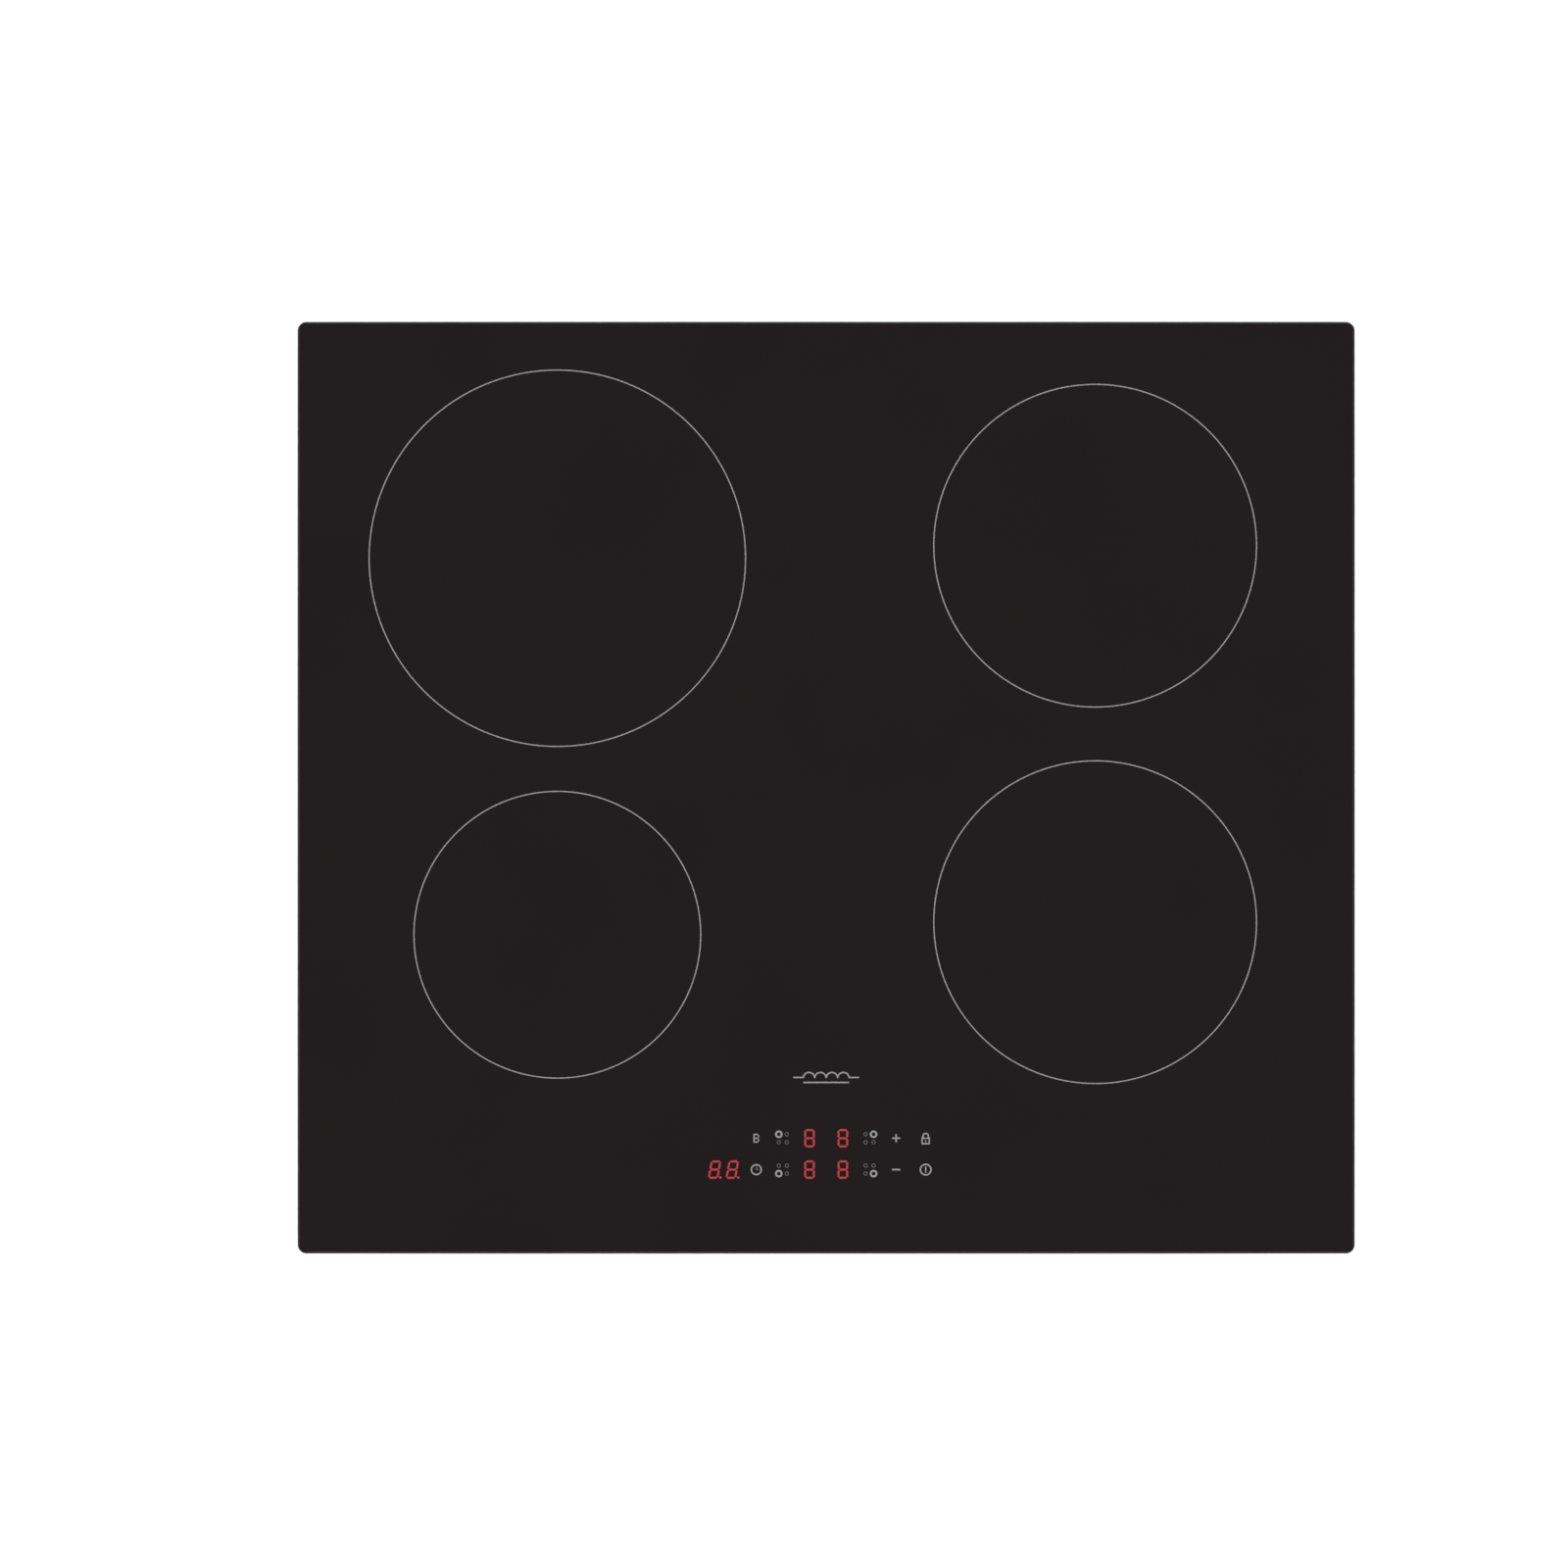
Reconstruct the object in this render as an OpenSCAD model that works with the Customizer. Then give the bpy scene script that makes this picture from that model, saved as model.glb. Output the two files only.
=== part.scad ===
// Four-zone electric induction cooktop for a worktop cut-out.
// Millimetres. X runs to the right, Y to the rear and Z up.
// The origin is the centre of the glass on the worktop plane, where the seal rests.

/* [Glass] */
// Width of the glass panel
glass_w = 590; // [590:1:800]
// Depth of the glass panel, front to rear
glass_d = 520; // [520:1:640]
// Thickness of the glass panel
glass_t = 4; // [4:0.1:6]
// Radius of the corners of the glass
glass_corner_r = 5; // [3:0.5:20]
// Width of the ground bevel round the top edge
glass_bevel = 1; // [0.3:0.1:1.5]

/* [Cooking zones] */
// Diameter of the rear left zone
rear_left_d = 210; // [180:1:214]
// Diameter of the rear right zone
rear_right_d = 180; // [150:1:200]
// Diameter of the front right zone
front_right_d = 180; // [150:1:195]
// Diameter of the front left zone
front_left_d = 160; // [145:1:180]
// Side edge of the glass to the rear left ring
rear_left_side = 40; // [36:1:50]
// Side edge of the glass to the rear right ring
rear_right_side = 55; // [40:1:65]
// Side edge of the glass to the front right ring
front_right_side = 55; // [40:1:65]
// Side edge of the glass to the front left ring
front_left_side = 65; // [40:1:75]
// Rear edge of the glass to the rear left ring
rear_left_edge = 27; // [27:1:35]
// Rear edge of the glass to the rear right ring
rear_right_edge = 35; // [27:1:40]
// Front edge of the glass to the front right ring
front_right_edge = 95; // [92:1:105]
// Front edge of the glass to the front left ring
front_left_edge = 98; // [92:1:105]
// Width of the printed ring line
ring_line_w = 0.6; // [0.4:0.1:2]

/* [Controls] */
// Front edge of the glass to the rear row of touch keys
key_row_edge = 64.5; // [58:0.5:75]
// Distance between the two rows of touch keys
key_row_pitch = 17.5; // [15:0.5:20]
// Width of one display digit
digit_w = 5.9; // [5:0.1:8]
// Height of one display digit
digit_h = 10.2; // [9:0.1:13]
// Width of one display segment
segment_w = 1.1; // [0.8:0.1:1.6]

/* [Housing] */
// Depth of the steel tray below the worktop plane
tray_depth = 54; // [54:1:80]
// Thickness of the tray's sheet steel
tray_t = 0.8; // [0.6:0.1:1.2]
// Edge of the glass to the side of the tray
tray_inset = 21; // [20:0.5:25]
// Width of the flange round the top of the tray
flange_w = 5; // [3:0.5:6]
// Thickness of the foam seal, which is the glass's height over the worktop
seal_t = 2; // [1.6:0.1:3]
// Width of the foam seal
seal_w = 10; // [6:0.5:11]
// Thickness of the adhesive between flange and glass
adhesive_t = 1.2; // [0.8:0.1:1.4]

/* [Coils] */
// Ring line to the outer turn of the coil under it
coil_margin = 8; // [6:0.5:12]
// Thickness of the litz winding
winding_t = 3; // [2:0.1:4]
// Distance between neighbouring turns
turn_pitch = 2.6; // [2:0.1:3.2]
// Thickness of a ferrite bar
ferrite_t = 5; // [3:0.1:5.5]
// Width of a ferrite bar
ferrite_w = 14; // [8:0.5:15]
// Thickness of the mica disc over the winding
mica_t = 0.5; // [0.3:0.1:1]
// Distance that a coil can be pressed down on its springs
float_travel = 3; // [2:0.1:3.5]
// Thickness of the aluminium plates that carry the coils
plate_t = 1.2; // [0.8:0.1:2]

/* [Blowers] */
// Radius of the blower's impeller
impeller_r = 33; // [26:0.5:34]
// Height of the blower's housing
blower_h = 24; // [22:0.5:26]
// Number of blades on the impeller
blade_count = 24; // [16:1:30]

/* [Cable entry] */
// Radius of the bore that the supply cable passes through
cable_bore_r = 5.5; // [4:0.5:6]

/* [Hidden] */

eps = 0.01;         // overshoot of a cut past the face that it opens
cut = 1;            // overshoot of a cut into open air
seat_gap = 0.3;     // gap between a moving piece and what it rests against
print_t = 0.1;      // thickness of the printed marks on the glass
groove_t = 0.15;    // depth of the groove that a zone ring fills

// Heights
glass_z = seal_t;                          // underside of the glass
glass_top = glass_z + glass_t;
flange_z = glass_z - adhesive_t - tray_t;  // underside of the tray's flange
floor_z = -tray_depth + tray_t;            // upper face of the tray's floor
mica_z = glass_z - seat_gap - mica_t;
winding_z = mica_z - winding_t;            // upper face of the coil carriers
carrier_t = 1.5;
carrier_z = winding_z - carrier_t;         // where the ferrites lie against the carriers
plate_gap = 1.5;                           // ferrites to plate with the coil pressed right down
plate_z = carrier_z - ferrite_t - float_travel - plate_gap - plate_t;  // underside of the coil plates
plate_top = plate_z + plate_t;

// Tray in plan
tray_w = glass_w - 2 * tray_inset;
tray_d = glass_d - 2 * tray_inset;
tray_r = 6;
inner_w = tray_w - 2 * tray_t;
inner_d = tray_d - 2 * tray_t;
seal_inset = 2;                            // edge of the glass to the seal

// Zones as [side, end, diameter, side margin, end margin, ferrite bars]
rear_left = [-1, 1, rear_left_d, rear_left_side, rear_left_edge, 8];
rear_right = [1, 1, rear_right_d, rear_right_side, rear_right_edge, 8];
front_right = [1, -1, front_right_d, front_right_side, front_right_edge, 8];
front_left = [-1, -1, front_left_d, front_left_side, front_left_edge, 6];
zones = [rear_left, rear_right, front_right, front_left];
function zone_r(z) = z[2] / 2;
function zone_pos(z) = [z[0] * (glass_w / 2 - z[3] - zone_r(z)), z[1] * (glass_d / 2 - z[4] - zone_r(z)),
  0];
function coil_r(z) = zone_r(z) - coil_margin;
function bars(z) = z[5];
function cups(z) = bars(z) / 2;            // springs under one coil

// Coil details
hub_r = 22;                                // inner turn of the winding
group_gap = 8;                             // gap between the inner and outer turns
rim_t = 1.2;
rim_clear = 0.5;                           // outer turn to the carrier's rim
outer_band = 24;                           // width of the carrier's outer band
cup_inset = 14;                            // outer turn to the spring cups
cup_r = 5.5;
cup_h = 4;
post_r = 2.2;
post_h = 4;
spring_r = 3.3;
spring_wire = 0.9;
sensor_r = 6;
sensor_stem_r = 4.8;
sensor_clear = 0.2;
lead_hole_r = 14;

// Coil plates in plan
corridor = 38;                             // half of the gap between the two coil plates
plate_side = 11;                           // plate to the tray's side wall
plate_x0 = corridor;
plate_x1 = inner_w / 2 - plate_side;
plate_y0 = -glass_d / 2 + min(front_left_edge, front_right_edge) - 7;
plate_y1 = inner_d / 2 - 2;
side_x = (plate_x0 + plate_x1) / 2;        // middle of one half of the hob
lip_h = 8;                                 // folded front and rear edges of a coil plate
leg_w = 12;
foot_l = 12;

// Pressed dimples in the floor that the coil plates' feet are screwed to
dimple_r = 6;
dimple_h = 3;
dimple_z = floor_z + dimple_h;

// Screws
screw_r = 1.6;
screw_clear = 0.1;
screw_head_r = 3;
screw_head_h = 1.8;

// Terminal box at the middle of the rear wall
box_w = 96;
box_d = 62;
box_h = 32;
box_wall = 2;
box_y1 = inner_d / 2 - seat_gap;
box_y0 = box_y1 - box_d;
cover_clear = 0.5;
opening_w = box_w - 4 * box_wall;
opening_d = box_d - 4 * box_wall;
box_mid_y = (box_y0 + box_y1) / 2;
cable_z = floor_z + 15;
block_w = 62;
block_d = 22;
block_h = 16;
pole_pitch = 12;

// Electronics
board_t = 1.6;
board_z = floor_z + 7.2;                   // underside of the circuit boards
board_top = board_z + board_t;
board_w = 186;
board_d = 176;
fan_clear = 3;                             // blower to the tray's rear wall
scroll_r = impeller_r + 13;
fan_wall = 1.6;
fan_y = inner_d / 2 - fan_clear - scroll_r;
duct_l = 60;                               // blower's axis to its outlet
duct_w = 44;
board_y1 = fan_y - duct_l - 8;
board_y0 = board_y1 - board_d;
hole_inset = 6;
carrier_base_t = 2;
carrier_post_r = 4;
sink_w = 60;
sink_l = 120;
sink_h = min(24, plate_z - board_top - 6);
sink_base = 4;
fin_t = 1.6;
fin_count = 9;
sink_x = side_x + 24;
sink_y = board_y1 - 8 - sink_l / 2;

// Mains filter board in the corridor
filter_w = 64;
filter_d = 128;
filter_y1 = box_y0 - 14;
filter_y = filter_y1 - filter_d / 2;

// Rear legs of the coil plates stand beside the filter board's rear end
leg_y0 = plate_y0 + 22;
leg_y1 = box_y0 - 24;

// Touch unit
key_y1 = -glass_d / 2 + key_row_edge;
key_y2 = key_y1 - key_row_pitch;
key_mid_y = (key_y1 + key_y2) / 2;
touch_w = 156;
touch_d = 50;
touch_board_z = glass_z - 11.6;
touch_top = touch_board_z + board_t;
touch_wall = 1.6;
touch_x = -3;                              // middle of the touch unit, between the timer and the power key

// Places of the touch keys along X
timer_x = -57.3;
clock_x = -39;
pick_x = 24.2;                             // middle of a zone-select key
digit_x = 9.3;
level_x = 39;
lock_x = 55.5;

// Side springs
clip_w = 26;
clip_t = 0.8;
clip_end = 90;                             // side spring to the tray's front or rear wall
clip_y = tray_d / 2 - clip_end;
clip_bottom = -tray_depth + 9;
clip_top = flange_z - 7;
clip_screw_z = clip_bottom + 20;
leaf_out = 8.5;                            // reach of a relaxed leaf past the tray's side
leaf_gap = 0.3;
leaf_access_r = 4.5;
clip_post = 2.5;                           // length of the screw behind the tray's wall

// ---------------------------------------------------------------- shared shapes

module rounded_plate(w, d, h, r) {
  translate([-w / 2 + r, -d / 2, 0]) cube([w - 2 * r, d, h]);
  translate([-w / 2, -d / 2 + r, 0]) cube([w, d - 2 * r, h]);
  for (sx = [-1, 1], sy = [-1, 1])
    translate([sx * (w / 2 - r), sy * (d / 2 - r), 0]) cylinder(r = r, h = h, $fn = 48);
}

module rounded_frame(w, d, h, r, border) {
  difference() {
    rounded_plate(w, d, h, r);
    translate([0, 0, -cut]) rounded_plate(w - 2 * border, d - 2 * border, h + 2 * cut, max(r - border, 1));
  }
}

module tube(r, wall, h) {
  difference() {
    cylinder(r = r, h = h, $fn = 64);
    translate([0, 0, -cut]) cylinder(r = r - wall, h = h + 2 * cut, $fn = 64);
  }
}

module centred_box(w, d, h) {
  translate([-w / 2, -d / 2, 0]) cube([w, d, h]);
}

// A screw whose head seats at z = 0 and whose shank points down
module pan_screw(length, r = screw_r, head_r = screw_head_r, head_h = screw_head_h) {
  slot_w = head_r * 0.3;
  difference() {
    union() {
      cylinder(r = head_r, h = head_h * 0.6, $fn = 32);
      translate([0, 0, head_h * 0.6]) cylinder(r1 = head_r, r2 = head_r * 0.7, h = head_h * 0.4, $fn = 32);
    }
    for (a = [0, 90]) rotate(a) translate([0, 0, head_h * 0.45]) centred_box(head_r * 1.1, slot_w, head_h);
  }
  translate([0, 0, -length]) cylinder(r = r, h = length + eps, $fn = 24);
}

// A close-wound spring drawn as a sleeve with one ridge for each turn
module spring_sleeve(r, wire, h, turns) {
  rise = h / turns;
  outer = [for (i = [0:turns - 1]) each [[r + wire * 0.1, i * rise], [r + wire / 2, (i + 0.5) * rise]]];
  inner = [for (i = [turns - 1:-1:0])
    each [[r - wire * 0.3, (i + 1) * rise], [r - wire / 2, (i + 0.5) * rise]]];
  rotate_extrude($fn = 32) polygon(concat(outer, [[r + wire * 0.1, h]], inner, [[r - wire * 0.3, 0]]));
}

// A wound toroid, standing on z = 0
module toroid(r, hole_r, h) {
  edge = (r - hole_r) * 0.25;
  rotate_extrude($fn = 48) polygon([
    [hole_r, edge], [hole_r + edge, 0], [r - edge, 0], [r, edge],
    [r, h - edge], [r - edge, h], [hole_r + edge, h], [hole_r, h - edge]
  ]);
}

module at_zone(z) {
  translate(zone_pos(z)) children();
}

// Places the children at each spring cup of a zone, in the gaps between the ferrite bars
module at_cups(z) {
  for (i = [0:cups(z) - 1]) rotate(180 / bars(z) + 360 / cups(z) * i)
    translate([coil_r(z) - cup_inset, 0, 0]) children();
}

module at_bars(z) {
  for (i = [0:bars(z) - 1]) rotate(360 / bars(z) * i) children();
}

// side is -1 for the left half of the hob and 1 for the right half
module on_side(side) {
  mirror([side < 0 ? 1 : 0, 0, 0]) children();
}

module both_sides() {
  for (side = [-1, 1]) on_side(side) children();
}

// ---------------------------------------------------------------- glass and print

// The profile of the glass's edge, with the glass to the left of x = r
function edge_profile(r) = [[0, 0], [r, 0], [r, glass_t - glass_bevel], [r - glass_bevel, glass_t],
  [0, glass_t]];

function slab_profile(w) = [
  [-w / 2, 0], [w / 2, 0], [w / 2, glass_t - glass_bevel], [w / 2 - glass_bevel, glass_t],
  [-w / 2 + glass_bevel, glass_t], [-w / 2, glass_t - glass_bevel]
];

module glass_slab() {
  r = glass_corner_r;
  for (sx = [-1, 1], sy = [-1, 1])
    translate([sx * (glass_w / 2 - r), sy * (glass_d / 2 - r), 0])
      rotate_extrude($fn = 64) polygon(edge_profile(r));
  rotate([90, 0, 90]) translate([0, 0, -glass_w / 2 + r]) linear_extrude(glass_w - 2 * r)
    polygon(slab_profile(glass_d));
  rotate([90, 0, 0]) translate([0, 0, -glass_d / 2 + r]) linear_extrude(glass_d - 2 * r)
    polygon(slab_profile(glass_w));
}

module zone_ring(z, h) {
  at_zone(z) difference() {
    cylinder(r = zone_r(z) + ring_line_w / 2, h = h, $fn = 128);
    translate([0, 0, -cut]) cylinder(r = zone_r(z) - ring_line_w / 2, h = h + 2 * cut, $fn = 128);
  }
}

module glass_panel() {
  color("#1d191a") difference() {
    translate([0, 0, glass_z]) glass_slab();
    for (z = zones) translate([0, 0, glass_top - groove_t]) zone_ring(z, cut);
  }
}

module zone_rings() {
  color("#8a8889") for (z = zones) translate([0, 0, glass_top - groove_t]) zone_ring(z, groove_t);
}

// Flat marks, drawn in plan round their own centres
module ring_mark(r, line) {
  difference() {
    circle(r, $fn = 48);
    circle(r - line, $fn = 48);
  }
}

module bar_mark(length, line, angle = 0) {
  rotate(angle) square([length, line], center = true);
}

pick_pitch = 4.45;   // between the four rings of a zone-select key
pick_r = 2.1;        // ring of the zone that the key selects
pick_line = 1.05;
pick_small_r = 1.15;
pick_small_line = 0.4;

// Four rings in a square, with the ring of the selected zone drawn bold
module pick_mark(bold_x, bold_y) {
  for (sx = [-1, 1], sy = [-1, 1]) translate([sx, sy] * pick_pitch / 2)
    if (sx == bold_x && sy == bold_y) ring_mark(pick_r, pick_line);
    else ring_mark(pick_small_r, pick_small_line);
}

module boost_mark() {
  w = 3.2;
  h = 5;
  line = 0.7;
  translate([-w / 2, -h / 2]) square([line, h]);
  for (y = [-h / 2, -line / 2, h / 2 - line]) translate([-w / 2, y]) square([w - line, line]);
  for (y = [-h / 2 + line, line / 2]) translate([w / 2 - line, y]) square([line, h / 2 - line * 1.5]);
}

module clock_mark() {
  line = 0.8;
  ring_mark(3.15, line);
  translate([-0.3, -0.3]) square([0.6, 2]);
  translate([-0.3, -0.3]) square([1.6, 0.6]);
}

module plus_mark() {
  bar_mark(4.6, 0.8);
  bar_mark(4.6, 0.8, 90);
}

module lock_mark() {
  line = 0.8;
  difference() {
    union() {
      translate([-2.4, -3.4]) square([4.8, 3.9]);
      translate([0, 1.2]) circle(1.9, $fn = 48);
      translate([-1.9, 0]) square([3.8, 1.2]);
    }
    translate([-2.4 + line, -3.4 + line]) square([4.8 - 2 * line, 3.9 - 2 * line]);
    translate([0, 1.2]) circle(1.9 - line, $fn = 48);
    translate([-1.9 + line, 0.5]) square([3.8 - 2 * line, 0.7]);
  }
  translate([-0.3, -2.1]) square([0.6, 1.3]);
}

module power_mark() {
  ring_mark(3.35, 0.8);
  bar_mark(3.4, 0.7, 90);
}

// A generic sign for induction heating: a circuit drawing's coil, four humps with a lead at each end,
// over a base line
module coil_mark() {
  hump_r = 3.6;
  line = 0.8;
  step = 2 * hump_r - line;
  for (i = [-1.5:1.5]) translate([i * step, -2]) difference() {
    ring_mark(hump_r, line);
    translate([-hump_r - 1, -hump_r - 1]) square([2 * hump_r + 2, hump_r + 1]);
  }
  for (side = [-1, 1]) translate([side * (2 * step + 2.6), -2 + line / 2]) bar_mark(6, line);
  translate([0, -4.4]) bar_mark(4 * step, line);
}

module control_icons() {
  color("#9a9899") translate([0, 0, glass_top]) linear_extrude(print_t) {
    translate([0, -glass_d / 2 + 100]) coil_mark();
    translate([clock_x, key_y1]) boost_mark();
    translate([clock_x, key_y2]) clock_mark();
    for (side = [-1, 1]) {
      translate([side * pick_x, key_y1]) pick_mark(side, 1);
      translate([side * pick_x, key_y2]) pick_mark(side, -1);
    }
    translate([level_x, key_y1]) plus_mark();
    translate([level_x, key_y2]) bar_mark(4.6, 0.9);
    translate([lock_x, key_y1]) lock_mark();
    translate([lock_x, key_y2]) power_mark();
  }
}

// One segment of a digit, pointed at both ends, along X
function segment_points(length) = [
  [-length / 2, 0], [-length / 2 + segment_w / 2, segment_w / 2], [length / 2 - segment_w / 2,
    segment_w / 2],
  [length / 2, 0], [length / 2 - segment_w / 2, -segment_w / 2], [-length / 2 + segment_w / 2,
    -segment_w / 2]
];

module digit(slant = 0) {
  gap = 0.25;
  across = digit_w - segment_w - gap;
  down = (digit_h - segment_w) / 2;
  multmatrix([[1, tan(slant), 0, 0], [0, 1, 0, 0], [0, 0, 1, 0], [0, 0, 0, 1]]) {
    for (i = [-1:1]) translate([0, i * down]) polygon(segment_points(across));
    for (sx = [-1, 1], sy = [-1, 1])
      translate([sx * (digit_w - segment_w) / 2, sy * down / 2]) rotate(90)
        polygon(segment_points(down - gap));
  }
}

timer_pitch = 9.9;   // between the two timer digits
timer_slant = 10;
dot_r = 0.7;

module display_segments() {
  color("#d1303a") translate([0, 0, glass_top]) linear_extrude(print_t) {
    for (x = [-digit_x, digit_x], y = [key_y1, key_y2]) translate([x, y]) digit();
    for (i = [-1, 1]) translate([timer_x + i * timer_pitch / 2, key_y2]) {
      digit(timer_slant);
      translate([digit_w / 2 + 0.3, -digit_h / 2 + dot_r]) circle(dot_r, $fn = 24);
    }
  }
}

module worktop_seal() {
  color("#2b2b2b") rounded_frame(glass_w - 2 * seal_inset, glass_d - 2 * seal_inset, seal_t,
    max(glass_corner_r - seal_inset, 2), seal_w);
}

module glass_adhesive() {
  color("#3a3a3a") translate([0, 0, glass_z - adhesive_t])
    rounded_frame(tray_w + 2 * flange_w - 2, tray_d + 2 * flange_w - 2, adhesive_t, tray_r + flange_w - 1,
      flange_w - 1);
}

// ---------------------------------------------------------------- steel tray

vent_line = 3.5;     // width of a vent slot
vent_rings = [10, 17, 24, 31];
vent_arc = 50;
bead_w = 9;
bead_h = 1.6;

// A bar with round ends, standing on z = 0
module stadium(length, w, h) {
  translate([-length / 2, -w / 2, 0]) cube([length, w, h]);
  for (s = [-1, 1]) translate([s * length / 2, 0, 0]) cylinder(r = w / 2, h = h, $fn = 32);
}

module at_feet() {
  both_sides() for (y = [leg_y0, leg_y1]) {
    translate([plate_x0 + foot_l / 2 + plate_t, y, 0]) children();
    translate([plate_x1 - foot_l / 2 - plate_t, y, 0]) children();
  }
}

module fan_vent() {
  for (r = vent_rings, i = [0:5]) rotate(60 * i + (60 - vent_arc) / 2 + r)
    rotate_extrude(angle = vent_arc, $fn = 64) translate([r - vent_line / 2, 0])
      square([vent_line, 2 * cut + tray_t]);
}

slot_count = 12;
slot_pitch = 9;

// Warm air leaves through slots in the front wall and in the floor behind it
module exhaust_slots() {
  for (i = [0:slot_count - 1]) translate([side_x + (i - (slot_count - 1) / 2) * slot_pitch, 0, 0]) {
    translate([-2, -tray_d / 2 - cut, floor_z + 12]) cube([4, tray_t + 2 * cut, 22]);
    translate([-2, -tray_d / 2 + 22, -tray_depth - cut]) cube([4, 34, tray_t + 2 * cut]);
  }
}

module tray_shell() {
  difference() {
    union() {
      translate([0, 0, -tray_depth]) rounded_plate(tray_w, tray_d, tray_depth + flange_z + tray_t, tray_r);
      translate([0, 0, flange_z])
        rounded_plate(tray_w + 2 * flange_w, tray_d + 2 * flange_w, tray_t, tray_r + flange_w);
    }
    translate([0, 0, floor_z]) rounded_plate(inner_w, inner_d, tray_depth + 2 * seal_t, tray_r - tray_t);
  }
}

// Stiffening beads pressed upwards into the floor, as [x, y, length, angle]
beads = [[side_x - 62, -175, 60, 90], [side_x + 62, -175, 60, 90], [side_x, -140, 100, 0]];

module floor_beads(w, h) {
  both_sides() for (b = beads) translate([b[0], b[1] - (glass_d - 520) / 2, -tray_depth])
    rotate(b[3]) stadium(b[2], w, h);
}

module base_tray() {
  color("#b9bdc0") difference() {
    union() {
      tray_shell();
      floor_beads(bead_w + 2 * tray_t, bead_h + tray_t);
      at_feet() translate([0, 0, -tray_depth]) cylinder(r = dimple_r, h = dimple_h + tray_t, $fn = 32);
    }
    translate([0, 0, -cut]) floor_beads(bead_w, bead_h + cut);
    at_feet() translate([0, 0, -tray_depth - cut]) {
      cylinder(r = dimple_r - tray_t, h = dimple_h + cut, $fn = 32);
      cylinder(r = screw_r + screw_clear, h = tray_depth, $fn = 24);
    }
    both_sides() translate([side_x, fan_y, -tray_depth - cut]) fan_vent();
    both_sides() exhaust_slots();
    translate([0, box_mid_y, -tray_depth - cut]) centred_box(opening_w, opening_d, 2 * cut + tray_t);
    translate([0, tray_d / 2 + cut, cable_z]) rotate([90, 0, 0])
      cylinder(r = bushing_r + screw_clear, h = tray_t + 2 * cut, $fn = 48);
    at_clips() translate([-tray_t - cut, 0, clip_screw_z]) rotate([0, 90, 0])
      cylinder(r = screw_r + screw_clear, h = tray_t + 2 * cut, $fn = 24);
  }
}

// ---------------------------------------------------------------- side springs

// Places the children on the tray's side walls, with +X pointing out of the wall
module at_clips() {
  both_sides() for (y = [-clip_y, clip_y]) translate([tray_w / 2, y, 0]) children();
}

module clip_plates() {
  color("#c9cccd") at_clips() difference() {
    translate([0, -clip_w / 2, clip_bottom]) cube([clip_t, clip_w, clip_top - clip_bottom]);
    translate([-cut, 0, clip_screw_z]) rotate([0, 90, 0])
      cylinder(r = screw_r + screw_clear, h = clip_t + 2 * cut, $fn = 24);
  }
}

// The leaf's outline in X and Z, from the bend at its foot to its turned-in tip
leaf_foot = clip_t + leaf_gap;
leaf_bend_z = clip_bottom + 1;
leaf_wide_z = clip_top - 9;
leaf_tip_z = clip_top - 3;
leaf_outline = [
  [leaf_foot, leaf_bend_z], [leaf_foot + clip_t, leaf_bend_z], [leaf_out, leaf_wide_z],
  [leaf_out - 2, leaf_tip_z], [leaf_out - 2 - clip_t, leaf_tip_z], [leaf_out - clip_t, leaf_wide_z]
];

module clip_leaf(side, end) {
  color("#c9cccd") on_side(side) translate([tray_w / 2, end * clip_y, 0]) difference() {
    translate([0, (clip_w - 2) / 2, 0]) rotate([90, 0, 0]) linear_extrude(clip_w - 2) polygon(leaf_outline);
    translate([-cut, 0, clip_screw_z]) rotate([0, 90, 0])
      cylinder(r = leaf_access_r, h = leaf_out + 2 * cut, $fn = 32);
  }
}

// ---------------------------------------------------------------- cable entry and terminals

bushing_r = 8;
bushing_flange_r = 11;
bushing_flange_t = 2.5;
cover_t = 2;

cover_screw_x = opening_w / 2 - 5;
cover_head_sink = 1.1;
cover_boss_r = 4.5;

// A box over the opening in the floor, with a ledge that the cover closes against from below
module terminal_box() {
  ledge_z = -tray_depth + cover_t;
  color("#2e3133") difference() {
    union() {
      difference() {
        translate([0, box_mid_y, floor_z]) centred_box(box_w, box_d, box_h);
        translate([0, box_mid_y, floor_z - cut])
          centred_box(opening_w - 6, opening_d - 6, box_h - box_wall + cut);
      }
      for (s = [-1, 1]) translate([s * cover_screw_x, box_mid_y, ledge_z])
        cylinder(r = cover_boss_r, h = 9, $fn = 32);
    }
    translate([0, box_mid_y, floor_z - cut]) centred_box(opening_w, opening_d, ledge_z - floor_z + cut);
    translate([0, box_y1 + cut, cable_z]) rotate([90, 0, 0])
      cylinder(r = bushing_r + screw_clear, h = 5 * box_wall + cut, $fn = 48);
    for (x = [-1, 0, 1]) translate([x * pole_pitch, box_y0 - cut, mains_z]) rotate([-90, 0, 0])
      cylinder(r = 2.6, h = 6 * box_wall + cut, $fn = 24);
    for (s = [-1, 1]) translate([s * cover_screw_x, box_mid_y, ledge_z - cut])
      cylinder(r = screw_r + screw_clear, h = 7, $fn = 24);
  }
}

module terminal_cover() {
  w = opening_w - 2 * cover_clear;
  d = opening_d - 2 * cover_clear;
  color("#2e3133") difference() {
    translate([0, box_mid_y, -tray_depth]) centred_box(w, d, cover_t);
    for (i = [-3:3]) translate([i * 7, box_mid_y - 8, -tray_depth - cut]) centred_box(2, 26, cut + 0.6);
    for (s = [-1, 1]) translate([s * cover_screw_x, box_mid_y, -tray_depth - cut]) {
      cylinder(r = screw_r + screw_clear, h = cover_t + 2 * cut, $fn = 24);
      cylinder(r = screw_head_r + 0.2, h = cut + cover_head_sink, $fn = 32);
    }
  }
}

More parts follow.
